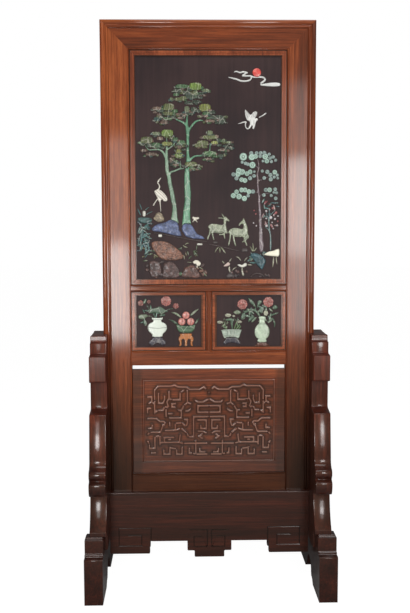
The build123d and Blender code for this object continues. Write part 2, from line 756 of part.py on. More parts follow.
# Foreground: ground line, rocks, deer, fungi, plants and flowers
deer = {
    "inlay_stag": (
        [(-3, 184), (2, 192), (12, 196), (26, 195), (40, 192), (50, 191), (54, 196), (53, 206), (55, 216),
         (61, 222), (66, 216), (76, 206), (72, 203), (64, 207), (62, 198), (63, 185), (66, 172), (68, 162),
         (64, 160), (58, 166), (38, 161), (22, 164), (14, 163), (10, 168), (5, 170), (2, 178)],
        [
            [(6, 176, 9), (4, 160, 6), (-2, 148, 5), (-3, 140, 5)],
            [(12, 168, 8), (15, 152, 5), (19, 138, 5)],
            [(60, 170, 8), (55, 158, 6), (58, 142, 4)],
            [(62, 166, 6), (50, 158, 6), (37, 157, 5)],
            [(57, 213, 4), (46, 216, 3), (34, 216, 3)],
            [(57, 216, 4), (52, 223, 4), (47, 231, 2)],
        ],
    ),
    "inlay_doe": (
        [(68, 160), (72, 173), (82, 179), (95, 182), (108, 179), (120, 176), (124, 182), (124, 192),
         (118, 196), (110, 188), (106, 190), (112, 201), (121, 208), (124, 217), (129, 207), (136, 192),
         (140, 176), (139, 162), (134, 154), (125, 150), (110, 148), (95, 149), (84, 154), (80, 158),
         (75, 160), (71, 163)],
        [
            [(78, 166, 8), (77, 146, 6), (71, 118, 5)],
            [(88, 156, 8), (90, 138, 6), (97, 116, 5)],
            [(126, 158, 8), (128, 140, 6), (137, 117, 5)],
            [(136, 162, 6), (143, 148, 5), (132, 138, 5), (119, 130, 4)],
        ],
    ),
}
for name, (outline, legs) in deer.items():
    inlay(name, "landscape", outlines=[outline], strokes=legs)
fungi = inlay(
    "inlay_fungi",
    "landscape",
    outlines=[
        [(-58, 222), (-46, 219), (-35, 220), (-32, 214), (-40, 210), (-50, 209), (-58, 214)],
        [(-58, 60), (-50, 67), (-38, 67), (-28, 58), (-27, 50), (-36, 44), (-42, 52), (-53, 54)],
    ],
    strokes=[[(-50, 211, 5), (-57, 201, 3)], [(-48, 210, 5), (-39, 201, 3)], [(-40, 52, 5), (-42, 38, 4)]],
)
brown_rocks = inlay(
    "inlay_rocks_brown",
    "landscape",
    outlines=[
        [(-205, 125), (-195, 135), (-175, 136), (-150, 133), (-130, 122), (-112, 108), (-98, 95), (-88, 80),
         (-95, 70), (-125, 65), (-160, 68), (-175, 75), (-190, 95), (-200, 110)],
        [(-185, 236), (-167, 236), (-160, 222), (-155, 212), (-161, 204), (-182, 202), (-198, 215),
         (-190, 223)],
    ],
    under=[blue_rocks, teal_rock],
)
inlay(
    "inlay_rocks_grey",
    "landscape",
    outlines=[
        [(-213, 60), (-200, 66), (-186, 64), (-172, 56), (-166, 36), (-172, 8), (-206, 4), (-212, 30)],
        [(-163, 50), (-150, 62), (-128, 62), (-112, 46), (-102, 28), (-104, 2), (-162, 2), (-166, 16)],
        [(-95, 26), (-80, 43), (-64, 51), (-49, 46), (-38, 30), (-30, 14), (-24, 3), (-100, 3)],
        [(62, 8), (70, 20), (80, 22), (90, 14), (92, 3), (62, 3)],
    ],
    slabs=[(129, 101, 23, 13), (208, 11, 12, 7), (24, 129, 18, 8)],
    under=[brown_rocks, fungi],
)
plants = inlay(
    "inlay_plants",
    "landscape",
    strokes=[
        [(36, 113, 3), (30, 108, 5), (22, 94, 2)],
        [(40, 112, 3), (40, 103, 6), (40, 92, 3)],
        [(44, 113, 3), (51, 104, 6), (60, 91, 3)],
        [(157, 97, 5), (152, 107, 4), (147, 116, 2)],
        [(159, 97, 4), (159, 112, 5), (157, 127, 2)],
        [(161, 97, 4), (167, 104, 4), (172, 111, 2)],
        [(-76, 60, 2), (-66, 59, 4), (-60, 58, 2)],
        [(-36, 41, 2), (-28, 39, 4), (-20, 35, 2)],
        [(-20, 25, 3), (-12, 15, 5), (-7, 9, 3)],
        [(74, 44, 5), (73, 34, 6), (77, 22, 4)],
        [(48, 64, 2), (53, 58, 4), (56, 54, 3)],
        [(82, 73, 2), (77, 66, 4), (74, 60, 3)],
        [(97, 79, 2), (108, 75, 5), (115, 64, 3)],
        [(139, 76, 2), (132, 70, 5), (127, 62, 3)],
        [(139, 50, 4), (147, 49, 4), (156, 48, 2)],
        [(82, 28, 2), (90, 36, 4), (100, 42, 3)],
        [(119, 39, 5), (120, 26, 6), (124, 10, 9)],
        [(232, 77, 3), (231, 60, 6), (229, 40, 2)],
        [(241, 78, 3), (242, 64, 5), (245, 50, 2)],
        [(-240, 110, 4), (-241, 140, 6), (-234, 178, 4)],
        [(-226, 150, 3), (-222, 136, 6), (-228, 120, 3)],
        [(-212, 128, 3), (-215, 112, 5), (-207, 98, 3)],
        [(-224, 244, 3), (-218, 250, 3), (-210, 255, 2)],
        [(-221, 228, 3), (-212, 234, 3), (-198, 240, 2)],
        [(-236, 196, 3), (-246, 180, 6), (-252, 160, 3)],
        [(-222, 194, 3), (-217, 184, 5), (-211, 172, 2)],
        [(-246, 150, 3), (-250, 132, 5), (-248, 114, 2)],
        [(-232, 128, 3), (-236, 112, 5), (-242, 98, 2)],
        [(-222, 168, 3), (-220, 156, 5), (-214, 144, 2)],
        [(-240, 226, 3), (-246, 238, 5), (-251, 250, 2)],
        [(-236, 246, 3), (-240, 257, 4), (-244, 268, 2)],
        [(-92, 120, 2), (-84, 114, 5), (-74, 112, 2)],
        [(-84, 122, 2), (-78, 127, 4), (-70, 127, 2)],
        [(-214, 92, 2), (-221, 84, 4), (-228, 74, 2)],
    ],
    under=[white_pieces, fungi, teal_rock],
)
inlay(
    "inlay_ground",
    "landscape",
    strokes=[
        [(-200, 165, 3), (-176, 161, 4), (-150, 157, 5), (-95, 145, 5), (-40, 136, 5), (-6, 132, 4)],
        [(-4, 125, 3), (30, 118, 4), (70, 108, 5), (116, 97, 3)],
        [(148, 4, 6), (160, 15, 6), (174, 19, 7), (190, 16, 6), (201, 4, 5)],
    ],
    thick=trunk_thick,
    under=[blue_rocks, white_pieces, plants],
)

# Small panels: on the left a flower vase and a bowl of peaches, on the right a
# planter of small flowers and a bottle vase of peonies
vase_half = [
    (19, 35), (19, 46), (27, 52), (34, 61), (36, 70), (33, 80), (25, 87), (16, 90), (14, 96), (20, 101),
    (20, 108), (13, 105),
]
bottle_half = [
    (16, 14), (17, 22), (13, 26), (22, 32), (27, 44), (28, 54), (26, 65), (19, 76), (11, 84), (10, 98),
    (14, 106), (7, 109),
]


def turned_outline(middle, half):
    return [(middle + x, z) for x, z in half] + [(middle - x, z) for x, z in half[::-1]]


vase = inlay("inlay_vase_white", "still_lifes", outlines=[turned_outline(-181, vase_half)])
bottle = inlay("inlay_bottle_vase", "still_lifes", outlines=[turned_outline(188, bottle_half)])
planter = inlay(
    "inlay_planter",
    "still_lifes",
    outlines=[
        [(37, 62), (115, 62), (112, 55), (104, 29), (97, 29), (91, 34), (61, 34), (55, 29), (49, 29),
         (41, 53)],
    ],
)
peaches = inlay("inlay_peaches", "still_lifes", discs=[(-77, 114, 13.5), (-92, 91, 13.5), (-60, 91, 13.5)])
peonies = inlay(
    "inlay_peonies",
    "still_lifes",
    outlines=[
        [(-172, 166), (-166, 178), (-155, 181), (-141, 178), (-131, 170), (-130, 154), (-135, 144),
         (-143, 146), (-151, 153), (-163, 157)],
        [(-125, 144), (-123, 154), (-115, 157), (-104, 155), (-105, 138), (-113, 135), (-121, 137)],
        [(-251, 166), (-247, 154), (-239, 147), (-229, 147), (-231, 153), (-239, 158), (-243, 168)],
        [(97, 150), (100, 164), (109, 171), (127, 171), (137, 162), (137, 148), (129, 138), (119, 130),
         (109, 136), (101, 142)],
        [(191, 146), (193, 164), (201, 176), (215, 180), (227, 172), (232, 158), (231, 148), (221, 144),
         (205, 140)],
    ],
    slabs=[(-211, 162, 12, 16)],
)
cream_flowers = inlay(
    "inlay_flowers_cream",
    "still_lifes",
    slabs=[(67, 112, 24, 13), (37, 87, 20, 11), (108, 88, 18, 10), (87, 109, 11, 8), (202, 119, 17, 20)],
)
bowl = inlay(
    "inlay_fruit_bowl",
    "still_lifes",
    outlines=[
        [(-111, 83), (-97, 77), (-75, 75), (-55, 77), (-43, 81), (-43, 70), (-49, 58), (-59, 50), (-96, 50),
         (-105, 57), (-111, 70)],
    ],
    under=[peaches],
)
inlay(
    "inlay_stands_dark",
    "still_lifes",
    outlines=[
        [(-200, 35), (-161, 35), (-161, 28), (-152, 22), (-149, 14), (-155, 6), (-165, 5), (-172, 10),
         (-181, 14), (-190, 10), (-197, 4), (-207, 6), (-213, 14), (-209, 22), (-200, 28)],
        [(57, 32), (97, 32), (103, 22), (109, 17), (108, 7), (96, 7), (90, 13), (65, 13), (58, 7), (46, 7),
         (47, 17), (53, 22)],
    ],
    under=[planter],
)
inlay(
    "inlay_stands_brown",
    "still_lifes",
    outlines=[
        [(-101, 48), (-54, 48), (-57, 40), (-51, 35), (-49, 24), (-55, 14), (-51, 1), (-59, 1), (-62, 12),
         (-60, 22), (-63, 27), (-71, 27), (-73, 14), (-72, 1), (-83, 1), (-81, 14), (-83, 27), (-91, 27),
         (-94, 22), (-92, 12), (-95, 1), (-103, 1), (-99, 14), (-105, 24), (-103, 35), (-97, 40)],
        [(170, 14), (204, 14), (206, 8), (215, 3), (216, 0), (162, 0), (162, 3), (169, 8)],
    ],
    under=[bottle],
)
inlay(
    "inlay_leaves",
    "still_lifes",
    outlines=[
        [(-215, 124), (-207, 138), (-189, 140), (-173, 148), (-161, 142), (-149, 134), (-151, 124),
         (-165, 118), (-187, 126), (-203, 120)],
        [(-234, 160), (-225, 176), (-219, 174), (-221, 160), (-227, 156)],
        [(-251, 104), (-249, 116), (-237, 118), (-219, 119), (-215, 112), (-225, 102), (-237, 99)],
        [(-233, 98), (-221, 96), (-217, 84), (-223, 74), (-231, 82)],
        [(81, 124), (91, 131), (101, 133), (113, 124), (107, 117), (93, 116)],
        [(170, 152), (171, 164), (179, 168), (188, 166), (185, 156), (175, 146), (169, 138)],
        [(223, 136), (231, 150), (239, 150), (247, 140), (237, 133)],
        [(177, 122), (181, 136), (191, 142), (193, 128), (187, 118)],
        [(137, 87), (139, 104), (149, 112), (161, 112), (155, 98), (145, 92)],
        [(109, 98), (115, 124), (127, 120), (127, 102), (119, 97)],
        [(210, 98), (213, 110), (221, 108), (224, 98), (215, 87)],
    ],
    strokes=[
        [(-219, 154, 3), (-213, 142, 3), (-209, 132, 2)],
        [(-217, 112, 4), (-205, 112, 3), (-195, 104, 3)],
        [(-197, 122, 3), (-191, 110, 3), (-185, 104, 2)],
        [(-155, 128, 3), (-137, 137, 3), (-121, 139, 3)],
        [(-163, 122, 3), (-169, 112, 3), (-171, 104, 2)],
        [(-130, 125, 2), (-115, 122, 8), (-103, 114, 8), (-95, 106, 4)],
        [(-139, 99, 2), (-123, 93, 8), (-111, 84, 7), (-105, 78, 3)],
        [(-61, 112, 4), (-51, 122, 9), (-41, 130, 7), (-31, 137, 2)],
        [(-44, 82, 4), (-37, 92, 8), (-30, 102, 2)],
        [(138, 176, 3), (149, 162, 14), (159, 150, 8), (161, 144, 3)],
        [(119, 130, 4), (125, 124, 8), (145, 133, 9), (161, 132, 9), (175, 118, 8), (181, 108, 3)],
        [(163, 150, 3), (165, 132, 4), (175, 112, 4)],
        [(205, 142, 3), (199, 128, 3), (193, 106, 3)],
        [(213, 108, 3), (225, 114, 6), (241, 120, 6), (249, 122, 2)],
        [(225, 104, 3), (231, 92, 7), (235, 80, 6), (232, 68, 2)],
        [(75, 104, 3), (75, 84, 4), (79, 66, 4), (80, 63, 4)],
        [(55, 96, 8), (75, 99, 8), (83, 98, 4)],
        [(53, 92, 4), (51, 78, 5), (61, 63, 4)],
        [(87, 104, 3), (79, 82, 4), (80, 63, 3)],
        [(97, 92, 3), (91, 76, 4), (87, 63, 4)],
        [(43, 78, 3), (49, 70, 5), (59, 63, 4)],
        [(107, 82, 3), (101, 72, 5), (93, 63, 4)],
        [(111, 76, 3), (107, 68, 5), (101, 63, 4)],
    ],
    under=[peonies, vase, peaches, bowl, cream_flowers, bottle, planter],
)


# How large each picture is drawn, and where its pieces go
def reach(picture):
    points = [point for made in drawings.values() if made.picture == picture for point in made.corners()]
    sides = [abs(x) for x, z in points]
    return min(sides), max(sides), max(z for x, z in points)


main_picture_low = main_low + strip_gap + main_strip_width
main_picture_high = main_high - strip_gap - main_strip_width
small_picture_low = small_low + strip_gap + small_strip_end
small_picture_high = small_high - strip_gap - small_strip_end
small_centre = (opening_half + muntin_half) / 2
_, landscape_far, landscape_top = reach("landscape")
landscape_scale = min(
    (opening_half - strip_gap - main_strip_width - landscape_side_gap) / landscape_far,
    (main_picture_high - main_picture_low - landscape_top_gap) / landscape_top,
)
still_life_near, still_life_far, still_life_top = reach("still_lifes")
still_life_middle = (still_life_near + still_life_far) / 2
still_life_room = opening_half - small_centre - strip_gap - small_strip_side - still_life_side_gap
still_life_scale = min(
    still_life_room / (still_life_far - still_life_middle),
    (small_picture_high - small_picture_low - still_life_top_gap) / still_life_top,
)


def spot(picture, x, z):
    if picture == "landscape":
        return x * landscape_scale, main_picture_low + z * landscape_scale
    # the sign of x says which of the two small panels a point is on
    side = math.copysign(1, x)
    across = (x - side * still_life_middle) * still_life_scale
    return side * small_centre + across, small_picture_low + z * still_life_scale


let_in = {}
for name, drawn in drawings.items():
    scale = landscape_scale if drawn.picture == "landscape" else still_life_scale
    with BuildPart() as piece:
        with BuildSketch(Plane.XZ.offset(-panel_y)):
            for outline in drawn.outlines:
                Polygon(*[spot(drawn.picture, x, z) for x, z in outline])
            for x, z, radius in drawn.discs:
                with Locations(spot(drawn.picture, x, z)):
                    Circle(radius * scale)
            for x, z, wide, high in drawn.slabs:
                with Locations(spot(drawn.picture, x, z)):
                    RectangleRounded(wide * scale, high * scale, slab_corner * min(wide, high) * scale)
        extrude(amount=drawn.thick)
        for other in drawn.under:
            add(let_in[other], mode=Mode.SUBTRACT)
    let_in[name] = keep(name, piece)


# Feet: a low bar with an arch cut in its underside and a stepped block at each end
foot_x = (foot_inner, foot_inner + foot_width)
post_x = (post_inner, post_inner + post_width)
post_middle = (post_x[0] + post_x[1]) / 2
post_tenon_x = (post_middle - post_tenon_width / 2, post_middle + post_tenon_width / 2)
post_tenon_y = (-post_tenon_depth / 2, post_tenon_depth / 2)
post_tenon_z = (foot_bar_height - post_tenon, foot_bar_height)
spandrel_tenon_x = post_tenon_x
spandrel_tenon_near = -post_front - spandrel_tenon_setback
spandrel_tenon_y = (spandrel_tenon_near - spandrel_tenon_depth, spandrel_tenon_near)
spandrel_tenon_z = (foot_bar_height - spandrel_tenon, foot_bar_height)
tier_y = (-foot_front + tier_setback, -foot_front + tier_setback + tier_depth)
tier_top = foot_bar_height + tier_height
plinth_y = (tier_y[0] + plinth_setback, tier_y[0] + plinth_setback + plinth_depth)
plinth_top = tier_top + plinth_height
bar_round = 5.0
tier_bead = 8.0
arch_lip = 18.0
arch_cusp = 34.0
with BuildPart() as foot_right:
    with BuildSketch(Plane.YZ.offset(foot_x[0])):
        with BuildLine():
            arch_side, arch_toe = 0.52 * arch_half, 0.6 * arch_half
            Line((-arch_half, 0), (-foot_front, 0))
            Line((-foot_front, 0), (-foot_front, foot_bar_height - bar_round))
            ThreePointArc(
                (-foot_front, foot_bar_height - bar_round),
                (-foot_front + 0.3 * bar_round, foot_bar_height - 0.3 * bar_round),
                (-foot_front + bar_round, foot_bar_height),
            )
            Line((-foot_front + bar_round, foot_bar_height), (0, foot_bar_height))
            Line((0, foot_bar_height), (0, arch_height))
            ThreePointArc((0, arch_height), (-0.3 * arch_half, 0.94 * arch_height), (-arch_side, arch_cusp))
            Line((-arch_side, arch_cusp), (-arch_toe, arch_lip))
            ThreePointArc((-arch_toe, arch_lip), (-0.85 * arch_half, 0.75 * arch_lip), (-arch_half, 0))
        make_face()
    extrude(amount=foot_width)
    block(foot_x, tier_y, (foot_bar_height, tier_top))
    block(foot_x, (tier_y[0] - tier_bead, tier_y[0]), (foot_bar_height, foot_bar_height + tier_bead))
    block((foot_x[0] + plinth_inset, foot_x[1] - plinth_inset), plinth_y, (tier_top, plinth_top))
    mirror(about=Plane.XZ)
    socket(post_tenon_x, post_tenon_y, (post_tenon_z[0], post_tenon_z[1] + 1))
    for side in (-1, 1):
        reach = sorted((side * spandrel_tenon_y[0], side * spandrel_tenon_y[1]))
        socket(spandrel_tenon_x, (-reach[1], -reach[0]), (spandrel_tenon_z[0], spandrel_tenon_z[1] + 1))
foot_right_part = keep("foot_right", foot_right)
keep_mirrored("foot_left", foot_right_part, Plane.YZ)

# Posts: a deep slot takes the screen's edge, and tongues and tenons lock the rest
slot_x = (post_inner, half_width + slot_gap)
slot_y = (front_y - slot_gap, -front_y + slot_gap)
rail_y = (-rail_depth / 2, rail_depth / 2)
rail_tenon_y = (-rail_tenon_thick / 2, rail_tenon_thick / 2)
rail_tenon_z = (rail_underside + rail_tenon_inset, rail_top - rail_tenon_inset)
apron_y = (-rail_depth / 2 + apron_setback, -rail_depth / 2 + apron_setback + apron_thick)
tongue_x = (post_middle - spandrel_tongue / 2, post_middle + spandrel_tongue / 2)
tongue_z = (foot_bar_height + tongue_margin, post_top - tongue_margin)
pin_x, pin_z = post_inner + rail_tenon / 2, rail_underside + rail_height / 2
with BuildPart() as post_right:
    block(post_x, (-post_front, post_front), (foot_bar_height, post_top))
    chamfer(post_right.faces().sort_by(Axis.Z)[-1].edges(), post_chamfer)
    block(post_tenon_x, post_tenon_y, post_tenon_z)
    block(slot_x, slot_y, (rail_top, post_top + 1), Mode.SUBTRACT)
    socket((post_inner - 1, post_inner + rail_tenon), rail_tenon_y, rail_tenon_z)
    pin(pin_x, pin_z, rail_pin_radius + fit_gap, rail_tenon_y[0], post_front, Mode.SUBTRACT)
    for side in (-1, 1):
        spandrel_side = sorted((side * post_front, side * (post_front - tongue_depth)))
        socket(tongue_x, spandrel_side, tongue_z)
        apron_side = sorted((side * apron_y[0], side * apron_y[1]))
        socket((post_inner - 1, post_inner + apron_tongue), apron_side, (foot_bar_height, rail_underside))
post_right_part = keep("post_right", post_right)
keep_mirrored("post_left", post_right_part, Plane.YZ)

# Standing spandrels: a stepped and moulded bracket in front of and behind each post.
# Each size is how far a face stands out from the post, or how high it is.
step_one, step_two = 27.0, 47.0
block_out, block_low, block_high = 91.0, 750.0, 841.0
waist_out, waist_low = 44.0, 652.0
shoulder_out, shoulder_high, shoulder_low = 107.0, 637.0, 490.0
shoulder_flare = 19.0
torus_out, torus_high, torus_low = 152.0, 456.0, 424.0
bulge_out, bulge_high, bulge_low = 165.0, 410.0, 366.0
scoop_out, scoop_low = 108.0, 240.0
with BuildPart() as spandrel_front_right:
    with BuildSketch(Plane.YZ.offset(post_x[0])):
        with BuildLine():
            def out(distance):
                return -post_front - distance

            Polyline(
                (out(0), foot_bar_height),
                (out(0), post_top),
                (out(step_one), post_top),
                (out(step_one), post_top - 16),
                (out(step_one) - 4, post_top - 21),
                (out(step_two), post_top - 23),
                (out(step_two), block_high + 9),
                (out(step_two) - 4, block_high + 3),
                (out(block_out), block_high),
                (out(block_out), block_low + 4),
                (out(block_out) + 4, block_low),
                (out(waist_out), block_low - 4),
                (out(waist_out), waist_low + 6),
            )
            ThreePointArc(
                (out(waist_out), waist_low + 6),
                (out(waist_out) - 2.5, waist_low),
                (out(waist_out) - 9, waist_low - 3),
            )
            Polyline(
                (out(waist_out) - 9, waist_low - 3),
                (out(shoulder_out) + 3, shoulder_high + 4),
                (out(shoulder_out), shoulder_high),
                (out(shoulder_out + shoulder_flare), shoulder_low),
            )
            ThreePointArc(
                (out(shoulder_out + shoulder_flare), shoulder_low),
                (out(shoulder_out + shoulder_flare) - 6, (shoulder_low + torus_high) / 2 - 6),
                (out(torus_out) + 6, torus_high),
            )
            ThreePointArc(
                (out(torus_out) + 6, torus_high),
                (out(torus_out) - 8, (torus_high + torus_low) / 2),
                (out(torus_out), torus_low),
            )
            Polyline(
                (out(torus_out), torus_low),
                (out(torus_out) + 3, torus_low - 6),
                (out(bulge_out) + 3, bulge_high + 2),
                (out(bulge_out), bulge_high),
            )
            ThreePointArc(
                (out(bulge_out), bulge_high),
                (out(bulge_out) - 1, (bulge_high + bulge_low) / 2 + 2),
                (out(bulge_out) + 12, bulge_low),
            )
            Line((out(bulge_out) + 12, bulge_low), (out(scoop_out), bulge_low - 6))
            ThreePointArc(
                (out(scoop_out), bulge_low - 6),
                (out(scoop_out) - 14, (bulge_low + scoop_low) / 2 - 6),
                (plinth_y[0] + 1, scoop_low),
            )
            Polyline(
                (plinth_y[0] + 1, scoop_low),
                (plinth_y[0] + 1, plinth_top),
                (plinth_y[1], plinth_top),
                (plinth_y[1], tier_top),
                (tier_y[1] + fit_gap, tier_top),
                (tier_y[1] + fit_gap, foot_bar_height),
                (out(0), foot_bar_height),
            )
        make_face()
    extrude(amount=post_width)
    block(tongue_x, (-post_front, -post_front + tongue_depth - fit_gap), tongue_z)
    block(spandrel_tenon_x, spandrel_tenon_y, spandrel_tenon_z)
spandrel_part = keep("spandrel_front_right", spandrel_front_right)
keep_mirrored("spandrel_front_left", spandrel_part, Plane.YZ)
spandrel_rear_part = keep_mirrored("spandrel_rear_right", spandrel_part, Plane.XZ)
keep_mirrored("spandrel_rear_left", spandrel_rear_part, Plane.YZ)

# Base rail, tenoned into the posts, which carries the screen. A rib along the top
# of each apron fits a groove in its underside.
rib_x = (-post_inner + apron_rib_inset, post_inner - apron_rib_inset)
rib_y = (apron_y[0] + apron_thick / 3, apron_y[1] - apron_thick / 3)
rib_top = rail_underside + apron_tongue
with BuildPart() as base_rail:
    block((-post_inner, post_inner), rail_y, (rail_underside, rail_top))
    chamfer(base_rail.edges().filter_by(Axis.X).group_by(Axis.Z)[-1], rail_chamfer)
    for side in (-1, 1):
        ends = sorted((side * (post_inner - rail_tenon / 4), side * (post_inner + rail_tenon)))
        block(ends, rail_tenon_y, rail_tenon_z)
        pin(side * pin_x, pin_z, rail_pin_radius + fit_gap, rail_tenon_y[0], rail_tenon_y[1], Mode.SUBTRACT)
        rib_side = sorted((side * rib_y[0], side * rib_y[1]))
        socket(rib_x, rib_side, (rail_underside - 1, rib_top))
keep("base_rail", base_rail)

with BuildPart() as rail_pins:
    for side in (-1, 1):
        pin(side * pin_x, pin_z, rail_pin_radius, rail_tenon_y[0], post_front - tongue_depth - fit_gap)
keep("rail_pins", rail_pins)

# Aprons: fretted end blocks, a centre block with a tab, and key-fret grooves
end_fret_top = apron_edge + 50.0
end_fret_low = end_block_edge + 30.0
end_fret_out, end_fret_in = post_inner - 32.0, end_block_inner + 30.0
centre_fret_top = apron_edge + 41.0
centre_fret_low = centre_block_edge + 14.0
fret_lines = [
    [(end_block_inner - 4, apron_edge), (end_block_inner - 4, end_fret_top), (end_fret_out, end_fret_top),
     (end_fret_out, end_fret_low), (end_fret_in, end_fret_low), (end_fret_in, end_fret_low + 38),
     (end_fret_out - 32, end_fret_low + 38)],
    [(8, centre_fret_low), (8, centre_fret_top), (centre_block_half - 8, centre_fret_top)],
    [(10, centre_fret_low), (tab_half + 2, centre_fret_low), (tab_half + 2, centre_fret_top - 24),
     (tab_half - 28, centre_fret_top - 24)],
]
with BuildPart() as apron_front:
    lower_edge = [
        (post_inner, rail_underside),
        (post_inner, end_block_edge),
        (end_block_inner, end_block_edge),
        (end_block_inner, apron_edge),
        (centre_block_half, apron_edge),
        (centre_block_half, centre_block_edge),
        (tab_half, centre_block_edge),
        (tab_half, tab_edge),
    ]
    with BuildSketch(Plane.XZ.offset(-apron_y[0])):
        Polygon(*lower_edge, *[(-x, z) for x, z in lower_edge[::-1]])
        rows = vertices().group_by(Axis.Y)
        fillet(rows[0] + rows[1] + rows[2], corner_round)
    extrude(amount=-apron_thick)
    for side in (-1, 1):
        block(
            sorted((side * post_inner, side * (post_inner + apron_tongue - fit_gap))),
            apron_y,
            (foot_bar_height + 1, rail_underside),
        )
    block(rib_x, rib_y, (rail_underside, rib_top))
    with BuildSketch(Plane.XZ.offset(-apron_y[0])):
        for side in (-1, 1):
            for line in fret_lines:
                Polygon(*strap([(side * x, z) for x, z in line], fret_groove))
    extrude(amount=-fret_depth, mode=Mode.SUBTRACT)
apron_part = keep("apron_front", apron_front)
keep_mirrored("apron_rear", apron_part, Plane.XZ)
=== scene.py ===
import json
import math
import random

import bmesh
import bpy
import numpy as np
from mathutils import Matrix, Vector, geometry, noise


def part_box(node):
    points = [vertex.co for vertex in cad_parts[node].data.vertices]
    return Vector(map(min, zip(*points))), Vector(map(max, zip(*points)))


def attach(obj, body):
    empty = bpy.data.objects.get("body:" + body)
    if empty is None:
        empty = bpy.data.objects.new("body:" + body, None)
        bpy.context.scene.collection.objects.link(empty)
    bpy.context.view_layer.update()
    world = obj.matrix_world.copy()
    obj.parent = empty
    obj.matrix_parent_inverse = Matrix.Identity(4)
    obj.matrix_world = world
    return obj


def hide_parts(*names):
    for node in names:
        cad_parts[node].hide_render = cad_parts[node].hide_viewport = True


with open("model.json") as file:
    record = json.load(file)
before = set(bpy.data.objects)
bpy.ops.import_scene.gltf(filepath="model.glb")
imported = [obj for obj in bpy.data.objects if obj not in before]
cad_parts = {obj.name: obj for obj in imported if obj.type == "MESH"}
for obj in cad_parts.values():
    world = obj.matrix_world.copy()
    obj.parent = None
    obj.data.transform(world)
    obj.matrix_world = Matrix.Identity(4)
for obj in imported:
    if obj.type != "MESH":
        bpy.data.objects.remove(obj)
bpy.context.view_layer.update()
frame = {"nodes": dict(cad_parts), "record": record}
nodes = frame["nodes"]
bodyOf = {n: body for body, names in frame["record"]["behaviour"]["bodies"].items() for n in names}
mm = 0.001
print("frame loaded", len(nodes))


# Colours are written as the 0 to 255 values that a picture shows
def tint(red, green, blue):
    def linear(value):
        share = value / 255
        return share / 12.92 if share < 0.04045 else ((share + 0.055) / 1.055) ** 2.4
    return (linear(red), linear(green), linear(blue), 1.0)


# Node trees: a value that does arithmetic, and the material it belongs to
class Value:
    def __init__(self, paint, socket):
        self.paint = paint
        self.socket = socket

    def __add__(self, other):
        return self.paint.math("ADD", self, other)

    def __sub__(self, other):
        return self.paint.math("SUBTRACT", self, other)

    def __rsub__(self, other):
        return self.paint.math("SUBTRACT", other, self)

    def __mul__(self, other):
        return self.paint.math("MULTIPLY", self, other)

    __radd__ = __add__
    __rmul__ = __mul__


class Paint:
    def __init__(self, name, **constants):
        self.material = bpy.data.materials.new(name)
        self.material.use_nodes = True
        self.tree = self.material.node_tree
        self.shader = self.tree.nodes["Principled BSDF"]
        for key, value in constants.items():
            self.shader.inputs[key.replace("_", " ")].default_value = value

    def feed(self, socket, value):
        if isinstance(value, Value):
            self.tree.links.new(value.socket, socket)
        else:
            socket.default_value = value

    def node(self, kind, inputs, output=0, **settings):
        made = self.tree.nodes.new("ShaderNode" + kind)
        for key, value in settings.items():
            setattr(made, key, value)
        for key, value in inputs.items():
            self.feed(made.inputs[key], value)
        return Value(self, made.outputs[output])

    def math(self, operation, first, second):
        return self.node("Math", {0: first, 1: second}, operation=operation)

    def clamp(self, value, low, high, toLow=0.0, toHigh=1.0):
        return self.node("MapRange", {0: value, 1: low, 2: high, 3: toLow, 4: toHigh})

    def place(self, stretch=(1, 1, 1)):
        here = self.node("TexCoord", {}, output="Object")
        return self.node("VectorMath", {0: here, 1: stretch}, operation="MULTIPLY")

    def along(self, axis):
        here = self.node("TexCoord", {}, output="Object")
        return self.node("SeparateXYZ", {0: here}, output=axis)

    def noise(self, place, scale, detail=3, rough=0.5, warp=0.0):
        return self.node("TexNoise", {"Vector": place, "Scale": scale, "Detail": detail,
                                      "Roughness": rough, "Distortion": warp})

    def cells(self, place, scale, output="Distance"):
        return self.node("TexVoronoi", {"Vector": place, "Scale": scale}, output=output)

    def blend(self, factor, first, second, kind="MIX"):
        return self.node("Mix", {0: factor, 6: first, 7: second}, output=2,
                         data_type="RGBA", blend_type=kind)

    def dim(self, colour, share):
        grey = self.node("CombineXYZ", {0: share, 1: share, 2: share})
        return self.blend(1.0, colour, grey, kind="MULTIPLY")

    def seams(self, place, scale, width):
        gap = self.node("TexVoronoi", {"Vector": place, "Scale": scale}, feature="DISTANCE_TO_EDGE")
        return self.clamp(gap, 0.0, width, 1.0, 0.0)

    def ramp(self, factor, *stops):
        made = self.node("ValToRGB", {0: factor})
        elements = made.socket.node.color_ramp.elements
        while len(elements) < len(stops):
            elements.new(0.5)
        for element, (at, colour) in zip(elements, stops):
            element.position = at
            element.color = colour
        return made

    def own(self):
        return self.node("Attribute", {}, output="Color", attribute_name="tint")

    def done(self, colour, roughness, relief, depth, strength=1.0):
        self.feed(self.shader.inputs["Base Color"], colour)
        self.feed(self.shader.inputs["Roughness"], roughness)
        bump = self.node("Bump", {"Height": relief, "Distance": depth, "Strength": strength})
        self.feed(self.shader.inputs["Normal"], bump)
        return self.material


